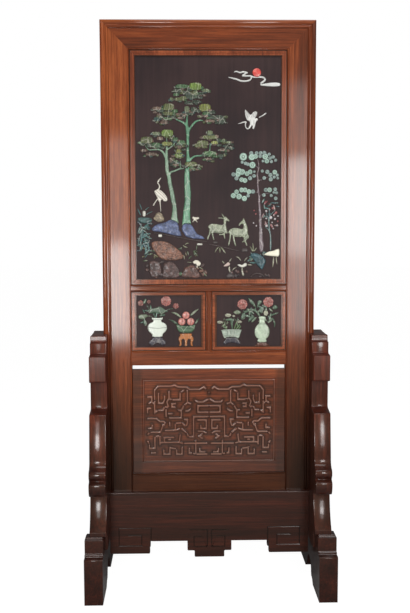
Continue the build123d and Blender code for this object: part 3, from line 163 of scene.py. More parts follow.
# Woods. Grain is the axis that the fibres follow.
alongGrain = {"x": (0.035, 1, 1), "y": (1, 0.035, 1), "z": (1, 1, 0.035)}
# low and high scale the colour at the foot and the top of a height ramp: painted shade low down, painted
# light higher up
woodTones = {
    "frame": {"dark": tint(60, 21, 9), "middle": tint(106, 46, 20), "light": tint(146, 76, 38),
              "low": 0.22, "high": 1.0, "coat": 0.4, "polish": 0.1, "sheen": 0.3, "rough": 0.34},
    "bead": {"dark": tint(62, 22, 11), "middle": tint(108, 48, 26), "light": tint(146, 76, 44),
             "low": 0.5, "high": 1.1, "coat": 0.44, "polish": 0.12, "sheen": 0.35, "rough": 0.34},
    "stand": {"dark": tint(24, 8, 6), "middle": tint(49, 18, 12), "light": tint(78, 32, 20),
              "low": 0.72, "high": 2.2, "coat": 0.46, "polish": 0.14, "sheen": 0.25, "rough": 0.38},
    "carved": {"dark": tint(44, 15, 9), "middle": tint(88, 36, 19), "light": tint(132, 64, 32),
               "low": 0.55, "high": 1.2, "coat": 0.7, "polish": 0.12, "sheen": 0.35, "rough": 0.34},
    "back": {"dark": tint(62, 34, 22), "middle": tint(96, 58, 38), "light": tint(126, 82, 54),
             "low": 0.7, "high": 1.0, "coat": 0.05, "polish": 0.4, "sheen": 0.4, "rough": 0.6},
}


def jointShade(paint, node, width):
    # painted shade: the joint round a bead frame and the one inside it are darker
    low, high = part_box(node)
    off = []
    for axis, a, b in (("X", low.x, high.x), ("Z", low.z, high.z)):
        off.append(((b - a) / 2, paint.math("ABSOLUTE", paint.along(axis) - (a + b) / 2, 0)))
    outer = [paint.clamp(away, half - 4.2 * mm, half - 2.6 * mm) for half, away in off]
    inner = [paint.clamp(away, half - width + 3.6 * mm, half - width + 2.2 * mm) for half, away in off]
    return paint.math("MAXIMUM", paint.math("MAXIMUM", *outer), paint.math("MINIMUM", *inner))


def woodPaint(kind, grain, node="", width=0.0):
    tones = woodTones[kind]
    paint = Paint(f"{kind}Wood_{grain}{node}", Coat_Weight=tones["coat"], Coat_Roughness=tones["polish"],
                  Specular_IOR_Level=tones["sheen"], Specular_Tint=(1, 0.62, 0.42, 1))
    fibre = paint.place(alongGrain[grain])
    broad = paint.noise(fibre, 16, detail=4, rough=0.55, warp=0.7)
    streaks = paint.noise(fibre, 150, detail=6, rough=0.7, warp=0.3)
    pores = paint.noise(fibre, 700, detail=2)
    figure = broad * 0.45 + streaks * 0.55
    colour = paint.ramp(figure, (0.36, tones["dark"]), (0.5, tones["middle"]), (0.64, tones["light"]))
    openPores = paint.clamp(pores, 0.56, 0.68)
    colour = paint.blend(openPores * 0.5, colour, tones["dark"])
    handled = paint.noise(paint.place(), 5, detail=3)
    # painted shade and light by height: darker low down, lighter higher up; old polish also darkens in
    # uneven patches
    dirtAndShade = paint.clamp(paint.along("Z") + handled * 0.1, 0.46, 0.9, tones["low"], tones["high"])
    dirtAndShade = dirtAndShade * paint.clamp(handled, 0.3, 0.7, 0.9, 1.08)
    if kind == "frame":
        # painted shadow of the stand's brackets: the stiles are darkest, and dull, where they go down into
        # the stand
        sides = paint.clamp(paint.math("ABSOLUTE", paint.along("X"), 0), 0.25, 0.32)
        bracketShadow = paint.clamp(paint.along("Z"), 0.5, 0.82, 1.0, 0.0)
        dirtAndShade = dirtAndShade * (1 - sides * bracketShadow * 0.6)
        paint.feed(paint.shader.inputs["Coat Weight"], (1 - bracketShadow * 0.6) * tones["coat"])
    if kind == "carved":
        # painted shade: the ground is darker beside the raised straps, and the board's side margins are
        # darker
        litShare = paint.own()
        dirtAndShade = dirtAndShade * paint.clamp(litShare, 0.0, 0.35, 0.26, 1.0)
        side = paint.math("ABSOLUTE", paint.along("X"), 0)
        dirtAndShade = dirtAndShade * paint.clamp(side, 0.236, 0.25, 1.0, 0.5)
    if node == "apron_front":
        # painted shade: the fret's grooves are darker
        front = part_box(node)[0].y
        dirtAndShade = dirtAndShade * paint.clamp(paint.along("Y"), front + 0.2 * mm, front + 1.8 * mm, 1.0, 0.12)
    elif node:
        dirtAndShade = dirtAndShade * (1 - jointShade(paint, node, width) * 0.78)
    colour = paint.dim(colour, dirtAndShade)
    if kind == "carved":
        # painted highlight: the strapwork's crests and the border bead are painted pale
        lightLevel = paint.clamp(litShare, 0.45, 1.0, 0.0, 0.4) * paint.clamp(handled, 0.35, 0.62, 0.4, 1.0)
        colour = paint.blend(lightLevel, colour, tint(160, 130, 114))
    roughness = tones["rough"] + streaks * 0.14 + openPores * 0.12 + handled * 0.06
    relief = streaks * 0.5 - openPores * 0.5
    return paint.done(colour, roughness, relief, 0.2 * mm)


woods = {("frame", grain): woodPaint("frame", grain) for grain in "xz"}
woods["carved", "x"] = woodPaint("carved", "x")
woods.update({("stand", grain): woodPaint("stand", grain) for grain in "xyz"})
woods["back", "x"] = woodPaint("back", "x")


def lacquerPaint():
    paint = Paint("panelLacquer", Specular_IOR_Level=0.12)
    fibre = paint.place((1, 1, 0.05))
    grain = paint.noise(fibre, 70, detail=5, rough=0.6)
    cloud = paint.noise(paint.place(), 4.5, detail=3)
    colour = paint.ramp(cloud * 0.6 + grain * 0.4, (0.36, tint(38, 28, 29)), (0.5, tint(47, 34, 34)),
                        (0.66, tint(56, 41, 40)))
    crackle = paint.seams(paint.place(), 160, 0.03)
    colour = paint.blend(crackle * 0.12, colour, tint(20, 14, 14))
    return paint.done(colour, 0.42 + grain * 0.14, grain * 0.5 - crackle * 0.3, 0.15 * mm)


# Stones, bone and jade share one recipe; each piece's own colour is on its mesh
def stonePaint(name, cloudScale, spotScale, contrast, veins, rough, coat, pits):
    paint = Paint(name, Coat_Weight=coat, Coat_Roughness=0.12, Specular_IOR_Level=0.3)
    here = paint.place()
    cloud = paint.noise(here, cloudScale, detail=5, rough=0.6, warp=0.6)
    spots = paint.cells(here, spotScale)
    shade = paint.clamp(cloud, 0.3, 0.7, 1 - contrast, 1 + contrast)
    shade = shade * paint.clamp(spots, 0.0, 0.8, 1 - contrast * 0.6, 1 + contrast * 0.3)
    lines = paint.seams(paint.place((1, 1, 0.6)), cloudScale, 0.05)
    colour = paint.dim(paint.own(), shade)
    veined = paint.blend(0.5, colour, tint(232, 226, 210))
    colour = paint.blend(lines * veins, colour, veined)
    grit = paint.noise(here, spotScale * 6, detail=3)
    return paint.done(colour, rough + cloud * 0.2, cloud * 0.5 + grit * 0.3 - spots * 0.2, pits)


finishes = {
    "lacquer": lacquerPaint(),
    "stone": stonePaint("inlayStone", 60, 160, 0.22, 0.35, 0.3, 0.25, 0.5 * mm),
    "mottled": stonePaint("inlayMottledStone", 75, 130, 0.55, 0.05, 0.4, 0.15, 1.2 * mm),
    "jade": stonePaint("inlayJade", 34, 120, 0.3, 0.4, 0.26, 0.35, 0.5 * mm),
    "bone": stonePaint("inlayBone", 50, 220, 0.07, 0.1, 0.32, 0.3, 0.25 * mm),
}
print("materials made", len(bpy.data.materials))


# Pieces
def cover(mesh, material):
    mesh.materials.clear()
    mesh.materials.append(material)


def put(name, mesh, material, body, standsFor=()):
    piece = bpy.data.objects.new(name, mesh)
    bpy.context.scene.collection.objects.link(piece)
    cover(mesh, material)
    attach(piece, body)
    if standsFor:
        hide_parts(*standsFor)
    return piece


def curved(face):
    # a face that meets a neighbour at a slight angle belongs to a curve
    return any(e.is_manifold and 0.01 < e.calc_face_angle(0) < 0.6 for e in face.edges)


def meshOf(bm, name, flats=False):
    # flats keeps plane faces plane, and smooths only the curved ones
    mesh = bpy.data.meshes.new(name)
    bmesh.ops.recalc_face_normals(bm, faces=bm.faces)
    for face in bm.faces:
        face.smooth = not flats or curved(face)
    bm.to_mesh(mesh)
    bm.free()
    return mesh


def easedEdges(piece, width, limit):
    bevel = piece.modifiers.new("EasedEdges", "BEVEL")
    bevel.width = width
    bevel.segments = 2
    bevel.limit_method = "ANGLE"
    bevel.angle_limit = math.radians(limit)


# Structural members keep their solids' shape and get eased edges
def ease(node, wood, width):
    bm = bmesh.new()
    bm.from_mesh(nodes[node].data)
    bmesh.ops.remove_doubles(bm, verts=bm.verts, dist=0.01 * mm)
    bmesh.ops.dissolve_limit(bm, angle_limit=math.radians(0.5), verts=bm.verts, edges=bm.edges)
    piece = put(node + "Eased", meshOf(bm, node + "Eased", flats=True), wood, bodyOf[node], (node,))
    easedEdges(piece, width, 35)


# a member's wood, its grain, and its eased edge in millimetres
members = {
    "stile_left": ("frame", "z", 1.0), "stile_right": ("frame", "z", 1.0), "top_rail": ("frame", "x", 1.0),
    "bottom_rail": ("frame", "x", 1.0), "mid_rail_lower": ("frame", "x", 1.0),
    "mid_rail_upper": ("frame", "x", 0.8), "muntin": ("frame", "z", 0.8),
    "main_bead_frame": ("bead", "z", 1.6), "small_bead_frame_left": ("bead", "x", 1.4),
    "small_bead_frame_right": ("bead", "x", 1.4), "panel_battens": ("back", "x", 2.0),
    "foot_left": ("stand", "y", 2.2), "foot_right": ("stand", "y", 2.2),
    "post_left": ("stand", "z", 1.6), "post_right": ("stand", "z", 1.6),
    "spandrel_front_left": ("stand", "z", 2.2), "spandrel_front_right": ("stand", "z", 2.2),
    "spandrel_rear_left": ("stand", "z", 2.2), "spandrel_rear_right": ("stand", "z", 2.2),
    "base_rail": ("stand", "x", 1.6), "apron_front": ("stand", "x", 0.8), "apron_rear": ("stand", "x", 0.8),
}
mainBead, smallBead = 20, 14
beadWidths = {"main_bead_frame": mainBead * mm, "small_bead_frame_left": smallBead * mm,
              "small_bead_frame_right": smallBead * mm}
for node, (kind, grain, width) in members.items():
    if node in beadWidths or node == "apron_front":
        wood = woodPaint(kind, grain, node, beadWidths.get(node, 0))
    else:
        wood = woods[kind, grain]
    ease(node, wood, width * mm)
plain = {"frame_pins": woods["frame", "z"], "rail_pins": woods["stand", "z"],
         **dict.fromkeys(("main_panel", "small_panel_left", "small_panel_right"), finishes["lacquer"])}
for node, material in plain.items():
    cover(nodes[node].data, material)
print("members eased", len(members))

# Reliefs. Every outline is on the front view, in millimetres, and swells from its
# rim towards its middle. Grooves are cut lines, and carve adds any further shape.
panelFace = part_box("main_panel")[0].y / mm


def soften(outline, rounds):
    points = [Vector(p) for p in outline]
    for _ in range(rounds):
        cut = []
        for here, there in zip(points, points[1:] + points[:1]):
            cut += [here.lerp(there, 0.25), here.lerp(there, 0.75)]
        points = cut
    return [tuple(p) for p in points]


def even(outline, step):
    points = []
    for (x0, z0), (x1, z1) in zip(outline, outline[1:] + outline[:1]):
        count = max(1, round(math.hypot(x1 - x0, z1 - z0) / step))
        points += [(x0 + (x1 - x0) * i / count, z0 + (z1 - z0) * i / count) for i in range(count)]
    return points


def distances(points, lines):
    points = np.array(points, float).reshape(-1, 1, 2)
    starts = np.array([a for a, b in lines], float)
    spans = np.array([b for a, b in lines], float) - starts
    squares = np.maximum((spans ** 2).sum(1), 1e-9)
    share = np.clip((((points - starts) * spans).sum(2)) / squares, 0, 1)
    return np.sqrt((((points - starts) - share[..., None] * spans) ** 2).sum(2)).min(1)


# dirt and painted shade: a relief's colour is darkest at its rim
def rimDirtAndShade(depth):
    return 0.6 + 0.4 * np.clip(depth / 2.2, 0, 1)


def relief(bm, outline, colour, rise=3.0, rim=1.0, swell=6.0, step=2.4, grooves=(), cut=0.7, holes=(),
           carve=None, back=panelFace, lift=0.0, shade=rimDirtAndShade, wallShade=0.4):
    # rim is the wall's height at the outline and swell how far in the rounding runs
    loops = [even(loop, step) for loop in (outline, *holes)]
    flat = [p for loop in loops for p in loop]
    edges, first = [], 0
    for loop in loops:
        edges += [(first + i, first + (i + 1) % len(loop)) for i in range(len(loop))]
        first += len(loop)
    xs, zs = [p[0] for p in flat], [p[1] for p in flat]
    inner = []
    row, z = 0, min(zs) + step * 0.6
    while z < max(zs):
        x = min(xs) + step * (0.5 if row % 2 else 1.0)
        while x < max(xs):
            inner.append((x, z))
            x += step
        z += step * 0.87
        row += 1
    lines = [(flat[a], flat[b]) for a, b in edges]
    for groove in grooves:
        for (x0, z0), (x1, z1) in zip(groove, groove[1:]):
            run = math.hypot(x1 - x0, z1 - z0)
            side = ((z0 - z1) / run * cut, (x1 - x0) / run * cut)
            parts = max(2, round(run / step * 1.5))
            for i in range(parts + 1):
                t = i / parts
                px, pz = x0 + (x1 - x0) * t, z0 + (z1 - z0) * t
                inner += [(px, pz), (px + side[0], pz + side[1]), (px - side[0], pz - side[1])]
    if inner:
        clear = distances(inner, lines)
        inner = [p for p, d in zip(inner, clear) if d > step * 0.35]
    everything = [Vector(p) for p in flat + inner]
    verts, _, faces, _, _, _ = geometry.delaunay_2d_cdt(everything, edges, [], 2, 1e-4)
    spots = [tuple(v) for v in verts]
    depth = distances(spots, lines)
    share = np.clip(depth / swell, 0, 1)
    up = rim + (rise - rim) * np.sqrt(np.clip(1 - (1 - share) ** 2, 0, 1))
    if grooves:
        cuts = [(a, b) for groove in grooves for a, b in zip(groove, groove[1:])]
        up = up - cut * np.clip(1 - distances(spots, cuts) / cut, 0, 1) * (depth > step * 0.3)
    # dirt and painted shade darken the rims and the bottoms of the cut lines; carve also paints shade,
    # lighter on its high parts and darker in its hollows
    dirtAndLight = shade(depth)
    if carve:
        carved = np.array([carve(x, z, d) for (x, z), d in zip(spots, depth)])
        up = up + carved * np.clip(depth / 1.5, 0, 1)
        dirtAndLight = dirtAndLight * np.clip(1 + 0.55 * carved, 0.35, 1.4)
    if grooves:
        dirtAndLight = dirtAndLight * (1 - 0.7 * np.clip(1 - distances(spots, cuts) / (cut * 2.3), 0, 1))
    layer = bm.verts.layers.float_color["tint"]
    made = []
    for (x, z), high, share in zip(spots, up, dirtAndLight):
        vert = bm.verts.new((x * mm, (back - lift - high) * mm, z * mm))
        vert[layer] = tuple(c * share for c in colour[:3]) + (1.0,)
        made.append(vert)
    used = set()
    for face in faces:
        if len(set(face)) > 2:
            bm.faces.new([made[i] for i in face])
            used.update(face)
    # the wall runs from the front's open edges back into the panel
    border = [e for i in used for e in made[i].link_edges if len(e.link_faces) == 1]
    wall = {}
    for edge in set(border):
        for vert in edge.verts:
            if vert not in wall:
                wall[vert] = bm.verts.new((vert.co.x, (back + 0.3) * mm, vert.co.z))
                wall[vert][layer] = tuple(c * wallShade for c in colour[:3]) + (1.0,)
        a, b = edge.verts
        bm.faces.new((a, b, wall[b], wall[a]))
    for i, vert in enumerate(made):
        if i not in used:
            bm.verts.remove(vert)


def newRelief():
    bm = bmesh.new()
    bm.verts.layers.float_color.new("tint")
    return bm


def outlinesOf(node):
    # closed outlines of a node's front faces: each outer one with its holes
    bm = bmesh.new()
    bm.from_mesh(nodes[node].data)
    bmesh.ops.remove_doubles(bm, verts=bm.verts, dist=0.01 * mm)
    front = {f for f in bm.faces if f.normal.y < -0.99}
    following = {}
    for face in front:
        for corner in face.loops:
            if sum(f in front for f in corner.edge.link_faces) == 1:
                following[corner.vert] = corner.link_loop_next.vert
    loops = []
    while following:
        start, here = next(iter(following.items()))
        loop = [start]
        del following[start]
        while here is not start and here in following:
            loop.append(here)
            here = following.pop(here)
        loops.append([(v.co.x / mm, v.co.z / mm) for v in loop])
    bm.free()

    def area(loop):
        return sum(a[0] * b[1] - b[0] * a[1] for a, b in zip(loop, loop[1:] + loop[:1])) / 2

    sign = max((area(loop) for loop in loops), key=abs)
    outer = [loop for loop in loops if area(loop) * sign > 0]
    inner = [loop for loop in loops if area(loop) * sign < 0]
    return [(loop, [hole for hole in inner if within(hole[0], loop)]) for loop in outer]


def within(point, loop):
    inside = False
    for (x0, z0), (x1, z1) in zip(loop, loop[1:] + loop[:1]):
        if (z0 > point[1]) != (z1 > point[1]) and point[0] < (x1 - x0) * (point[1] - z0) / (z1 - z0) + x0:
            inside = not inside
    return inside


def middle(loop):
    return sum(p[0] for p in loop) / len(loop), sum(p[1] for p in loop) / len(loop)


def shift(colour, amount, rng):
    # a slightly lighter or darker neighbour of a colour
    share = 1 + amount * (rng.random() * 2 - 1)
    return tuple(c * share for c in colour[:3]) + (1.0,)


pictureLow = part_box("main_bead_frame")[0].z / mm + mainBead
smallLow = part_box("small_bead_frame_left")[0].z / mm + smallBead
pictureHalf = 258
asideShift = 2.5


def onMain(points):
    return [(x, z + pictureLow) for x, z in points]


def onSmall(points):
    # the still lifes lie a little further out than they are drawn
    return [(x + math.copysign(asideShift, x), z + smallLow) for x, z in points]


def carved(node, bm, finish):
    name = node + "Carved"
    put(name, meshOf(bm, name), finishes[finish], bodyOf[node], (node,))


def inlaid(node, finish, colour, soft=2, vary=0.12, grooves=(), place=onMain, **shape):
    # a node's own outlines, rounded and swollen
    rng = random.Random(node)
    bm = newRelief()
    for outline, holes in outlinesOf(node):
        own = colour(*middle(outline)) if callable(colour) else colour
        lines = [g for g in map(place, grooves) if within(g[len(g) // 2], outline)]
        relief(bm, soften(outline, soft), shift(own, vary, rng), grooves=lines,
               holes=[soften(hole, soft) for hole in holes], **shape)
    carved(node, bm, finish)


# Sky
inlaid("inlay_sun", "stone", tint(192, 70, 62), soft=0, rise=3.4, rim=1.6, swell=9, vary=0)
inlaid("inlay_cloud", "bone", tint(192, 192, 188), soft=2, rise=3.2, rim=1.4, swell=4, vary=0.03)
wingLines = [
    [(132, 592), (140, 566)], [(131, 584), (138, 562)], [(136, 588), (144, 570)],
    [(156, 580), (150, 566)], [(162, 586), (156, 566)], [(168, 588), (161, 566)], [(172, 584), (166, 570)],
    [(144, 546), (147, 558)], [(160, 542), (160, 556)],
]
inlaid("inlay_crane_flying", "bone", tint(198, 197, 192), soft=1, rise=3.4, rim=1.2, swell=5, step=1.8,
       vary=0, grooves=wingLines, cut=0.6)
featherLines = [
    [(-188, 306), (-172, 290), (-160, 280)], [(-184, 312), (-166, 296), (-150, 280)],
    [(-176, 315), (-160, 300), (-148, 286)], [(-180, 296), (-170, 284)],
]
inlaid("inlay_crane_standing", "bone", tint(208, 202, 188), soft=1, rise=3.6, rim=1.2, swell=6, step=1.8,
       vary=0, grooves=featherLines, cut=0.6)


# Trees. Bark is ridged along the trunk.
def barkRidges(x, z, d):
    return 0.7 * math.sin(x * 1.5 + 2.2 * noise.noise((x * 0.05, z * 0.03, 1))) \
        + 0.5 * noise.noise((x * 0.25, z * 0.07, 5))


trunkTones = {"inlay_trunk_left": tint(104, 128, 106), "inlay_trunk_centre": tint(82, 124, 96),
              "inlay_pine_trunk": tint(92, 76, 80), "inlay_small_tree": tint(100, 124, 122)}
for node, colour in trunkTones.items():
    inlaid(node, "jade", colour, soft=1, rise=2.8, rim=1.0, swell=6, step=2.0, vary=0.05, carve=barkRidges)

tuftTones = {
    "b": (104, 126, 58), "g": (66, 96, 60), "o": (86, 92, 54), "p": (98, 108, 78),
    "d": (50, 62, 46), "y": (118, 124, 62), "r": (104, 84, 70), "w": (124, 128, 112),
    "t": (54, 80, 72),
}
tufts = [
    (-92, 673, 44, 15, "g"), (-45, 673, 42, 26, "b"), (-9, 659, 23, 13, "p"), (-108, 658, 30, 12, "d"),
    (-76, 651, 30, 14, "d"), (-45, 650, 16, 20, "p"), (-25, 648, 22, 13, "d"), (-130, 630, 9, 12, "p"),
    (-100, 629, 36, 13, "o"), (-60, 638, 46, 16, "d"), (-43, 620, 28, 13, "d"), (-179, 597, 34, 13, "r"),
    (-139, 602, 38, 25, "o"), (-142, 580, 36, 15, "o"), (-75, 594, 18, 23, "p"), (-51, 593, 22, 18, "d"),
    (-12, 600, 40, 26, "y"), (-8, 579, 26, 14, "g"), (-167, 568, 16, 8, "w"), (-147, 562, 24, 12, "g"),
    (-155, 548, 26, 11, "r"), (-181, 560, 20, 16, "t"), (-105, 577, 20, 10, "r"), (-84, 574, 18, 12, "r"),
    (28, 567, 54, 14, "d"), (6, 554, 36, 11, "r"), (48, 555, 26, 18, "d"), (-144, 512, 41, 25, "b"),
    (-184, 510, 32, 14, "p"), (-216, 488, 42, 24, "o"), (-184, 470, 33, 19, "g"), (-145, 475, 37, 15, "y"),
    (-116, 490, 22, 15, "g"), (-95, 479, 28, 17, "g"), (-102, 466, 22, 12, "r"), (-105, 449, 20, 15, "y"),
    (-104, 434, 36, 15, "b"), (-131, 418, 12, 20, "r"), (-115, 413, 18, 12, "g"), (-116, 402, 24, 10, "r"),
    (-62, 404, 42, 18, "o"), (-33, 396, 11, 15, "w"), (-54, 388, 24, 8, "p"), (-200, 439, 42, 12, "r"),
    (-20, 477, 40, 20, "o"), (-36, 469, 26, 14, "o"), (5, 513, 20, 16, "p"), (6, 498, 52, 15, "o"),
    (22, 479, 24, 12, "y"), (5, 442, 46, 16, "g"), (2, 422, 26, 10, "r"), (54, 486, 13, 14, "p"),
    (71, 480, 20, 9, "p"), (63, 466, 16, 13, "d"), (78, 462, 14, 10, "w"), (50, 454, 22, 11, "r"),
    (44, 433, 22, 14, "d"),
]
shadedTufts = [
    (-112, 645, 22, 11), (-66, 662, 20, 11), (-86, 634, 26, 11), (-30, 636, 24, 12), (-72, 617, 24, 11),
    (-186, 584, 16, 9), (-164, 588, 20, 12), (-116, 588, 20, 13), (-172, 576, 18, 9), (-124, 566, 22, 10),
    (-98, 564, 20, 9), (-62, 578, 20, 11), (-34, 588, 16, 12), (14, 584, 24, 14), (-30, 570, 18, 9),
    (62, 568, 14, 10), (34, 548, 24, 10), (-232, 474, 18, 12), (-208, 468, 22, 12), (-170, 494, 22, 12),
    (-130, 496, 18, 12), (-164, 462, 20, 10), (-226, 452, 26, 10), (-78, 468, 14, 10), (-88, 454, 16, 10),
    (-122, 433, 18, 10), (-80, 396, 16, 10), (-40, 386, 16, 8), (26, 500, 20, 12), (-14, 464, 20, 9),
    (36, 488, 18, 11), (38, 470, 20, 9), (84, 472, 12, 9), (68, 452, 16, 9), (-14, 433, 20, 9),
    (24, 431, 20, 10), (14, 414, 14, 8), (60, 440, 14, 8),
]


def tuftOutline(x, z, wide, high, rng):
    # a squarish slab with a scalloped rim, one scallop to a spray of leaves
    scallops = max(6, round((wide + high) / 4.6))
    points = []
    for i in range(scallops * 6):
        turn = 2 * math.pi * i / (scallops * 6)
        c, s = math.cos(turn), math.sin(turn)
        square = (abs(c) ** 3.2 + abs(s) ** 3.2) ** (-1 / 3.2)
        lobe = 1.5 * abs(math.sin(turn * scallops / 2)) + 0.8 * rng.random()
        points.append((x + c * (wide / 2 * square + lobe - 1.2), z + s * (high / 2 * square + lobe - 1.2)))
    return points


def foliage():
    rng = random.Random(7)
    bm = newRelief()
    behind = [(*slab, rng.choice("ddgor")) for slab in shadedTufts]
    # small sprays peep out from under each slab
    for x, z, wide, high, tone in tufts:
        for side in (-1, 0, 1):
            behind.append((x + (side * 0.5 + rng.uniform(-0.1, 0.1)) * wide,
                           z - (rng.uniform(-0.2, 0.5) if side else 0.55) * high,
                           rng.uniform(9, 16), rng.uniform(6, 10), rng.choice("ddgort")))
    for x, z, wide, high, tone in behind + tufts:
        colour = shift(tint(*tuftTones[tone]), 0.2, rng)
        sprays = []
        count = max(3, round(wide / 7))
        for i in range(count):
            foot = x + wide * (i + 0.5 - count / 2) / count * 0.7
            lean = (foot - x) * 0.35 + rng.uniform(-2, 2)
            sprays.append([(foot, z - high * 0.42), (foot + lean, z + high * 0.42)])
        relief(bm, onMain(tuftOutline(x, z, wide, high, rng)), colour, rise=rng.uniform(2.6, 3.8),
               rim=1.2, swell=5, step=2.0, grooves=[onMain(s) for s in sprays], cut=0.7,
               lift=rng.uniform(0, 0.5) - 1.1)
    carved("inlay_foliage", bm, "jade")


foliage()

# Pine: each cluster of needles is a fluted disc with a raised eye
clusters = [
    (123, 430, 14), (151, 442, 8), (153, 429, 12), (166, 431, 9), (170, 443, 7), (184, 443, 7),
    (197, 443, 8), (182, 432, 7), (200, 431, 11), (214, 439, 6), (217, 425, 7), (228, 429, 7),
    (206, 415, 9), (192, 415, 5), (222, 413, 6), (237, 418, 6), (119, 411, 6), (131, 407, 7),
    (139, 404, 7), (155, 401, 12), (107, 381, 11), (119, 377, 11), (104, 369, 10), (147, 377, 9),
    (136, 371, 9), (162, 378, 5), (88, 368, 8), (99, 355, 8), (117, 350, 9), (129, 347, 9),
    (147, 355, 8), (161, 363, 7), (190, 380, 6), (208, 377, 8), (219, 366, 8), (234, 376, 9),
    (243, 366, 6), (197, 356, 7), (220, 351, 8), (232, 359, 6), (245, 355, 5), (88, 294, 10),
    (108, 291, 11), (99, 307, 9), (117, 314, 9), (129, 314, 9), (143, 308, 9), (157, 308, 8),
    (127, 284, 10), (140, 294, 7), (203, 314, 8), (216, 314, 9), (236, 316, 7), (231, 305, 5),
    (196, 296, 7), (222, 294, 6), (241, 304, 6), (238, 284, 7),
]


def pineNeedles():
    rng = random.Random(11)
    bm = newRelief()
    for i, (x, z, radius) in enumerate(clusters):
        pale = tint(136, 160, 146) if radius > 8.5 else tint(118, 134, 128)
        colour = shift(pale, 0.14, rng)
        flutes = round(radius * 1.6)
        rim = [(x + radius * math.cos(2 * math.pi * k / (flutes * 4)) * (1 - 0.06 * (k % 4 == 0)),
                z + radius * math.sin(2 * math.pi * k / (flutes * 4)) * (1 - 0.06 * (k % 4 == 0)))
               for k in range(flutes * 4)]

        # through the relief's shading the eye is painted lighter and the ring, rim and flute hollows darker,
        # as painted shade
        def fluted(px, pz, d):
            across, up = px - x, pz - pictureLow - z
            out = math.hypot(across, up)
            if out < radius * 0.22:
                return 0.6
            if out < radius * 0.46:
                return -0.9
            if out > radius * 0.86:
                return -0.6
            return 0.3 + 0.5 * math.cos(math.atan2(up, across) * flutes)

        relief(bm, onMain(rim), colour, rise=2.6, rim=1.0, swell=radius, step=1.6, carve=fluted,
               lift=0.35 * (i % 4))
    carved("inlay_pine_needles", bm, "bone")


pineNeedles()
print("trees carved")


# Ground, rocks and animals
def crags(x, z, d):
    return 1.1 * noise.noise((x * 0.06, z * 0.09, 2)) + 0.5 * noise.noise((x * 0.2, z * 0.2, 9))


def swirls(x, z, d):
    # uneven rings round the middle of the big rock
    out = math.hypot(x + 150, (z - 1205) * 1.6)
    ring = math.sin(0.4 * out + 7 * noise.noise((x * 0.06, z * 0.06, 0)))
    return 0.5 * ring + 0.5 * noise.noise((x * 0.16, z * 0.16, 4))


def brownTone(x, z):
    return tint(104, 72, 58) if z < pictureLow + 160 else tint(126, 114, 94)


def greyTone(x, z):
    if x > 0:
        return tint(70, 62, 60)
    return tint(70, 50, 46) if x < -112 else tint(82, 54, 46)


def tealTone(x, z):
    return tint(44, 72, 78) if x > 0 else tint(60, 84, 82)


inlaid("inlay_rocks_blue", "mottled", tint(80, 89, 118), soft=1, rise=3.6, swell=10, vary=0.06, carve=crags)
inlaid("inlay_rocks_brown", "mottled", brownTone, soft=1, rise=3.4, swell=9, carve=swirls)
inlaid("inlay_rocks_grey", "mottled", greyTone, soft=1, rise=3.0, swell=8, carve=crags)
inlaid("inlay_rock_teal", "mottled", tealTone, soft=1, rise=3.2, swell=8, carve=crags)
inlaid("inlay_ground", "mottled", tint(66, 52, 50), soft=1, rise=2.2, rim=0.8, swell=3)
deerLines = {
    "inlay_stag": [[(14, 190), (12, 180), (16, 170)], [(52, 190), (50, 178), (56, 168)],
                   [(20, 168), (36, 165), (50, 168)], [(60, 204), (66, 210)]],
    "inlay_doe": [[(86, 176), (82, 166), (88, 156)], [(122, 172), (118, 162), (124, 154)],
                  [(94, 154), (106, 152), (116, 154)], [(124, 204), (130, 198)]],
}
for node, lines in deerLines.items():
    inlaid(node, "jade", tint(136, 142, 120), soft=1, rise=3.8, rim=1.1, swell=9, step=1.8, vary=0.03,
           grooves=lines, cut=0.7)


def pieceTone(x, z):
    z -= pictureLow
    if x > 190 and z < 110:
        return tint(214, 209, 188)
    if x > 150 and z > 160:
        return tint(186, 178, 178) if round(x) % 3 else tint(150, 84, 84)
    if 50 < x < 80:
        return tint(190, 170, 160)
    return tint(196, 194, 182)


def plantTone(x, z):
    if z - pictureLow < 90 and x > 60:
        return tint(150, 148, 128)
    if x < -190:
        return tint(72, 104, 102)
    return tint(128, 130, 106)


# small broken stones, leaves and blossoms crowd the foot of the picture. A region is
# left, right, low, high, how many, smallest and largest half length, and tones.
scatters = {
    "rubble": {"finish": "mottled", "slot": "inlay_stone", "leaf": False, "regions": [
        (-226, -138, 6, 60, 17, 7, 12, (76, 54, 48), (88, 66, 56), (62, 50, 48), (96, 86, 72)),
        (-104, -6, 6, 50, 16, 6, 11, (84, 56, 46), (96, 68, 56), (66, 48, 44), (60, 76, 54)),
        (68, 148, 6, 30, 11, 6, 10, (74, 54, 52), (86, 64, 60), (58, 46, 46)),
        (182, 216, 5, 16, 4, 5, 8, (74, 58, 56), (60, 52, 52))]},
    "sprigs": {"finish": "jade", "slot": "inlay_green", "leaf": True, "regions": [
        (-250, -208, 92, 200, 46, 7, 13, (44, 74, 76), (56, 92, 88), (38, 56, 62), (84, 104, 96)),
        (192, 246, 178, 276, 30, 6, 10, (50, 80, 84), (62, 96, 92), (128, 70, 72), (150, 120, 118)),
        (140, 200, 52, 96, 16, 7, 12, (40, 68, 68), (52, 84, 80), (72, 84, 60)),
        (-232, -176, 64, 110, 10, 6, 10, (70, 84, 56), (96, 92, 64)),
        (-104, -40, 62, 112, 12, 6, 10, (70, 84, 56), (88, 76, 52), (60, 72, 50))]},
    "posyLeaves": {"finish": "jade", "slot": "inlay_green", "leaf": True, "place": onSmall, "regions": [
        (134, 170, 94, 148, 9, 7, 12, (86, 106, 88), (108, 124, 102), (66, 86, 72)),
        (176, 234, 84, 146, 16, 7, 12, (86, 106, 88), (112, 126, 104), (66, 86, 72)),
        (-238, -206, 88, 134, 6, 7, 12, (56, 82, 68), (76, 96, 76)),
        (-206, -150, 112, 142, 8, 7, 12, (50, 76, 62), (66, 92, 74)),
        (42, 108, 66, 98, 14, 4, 7, (96, 112, 88), (126, 134, 108), (66, 84, 64))]},
}


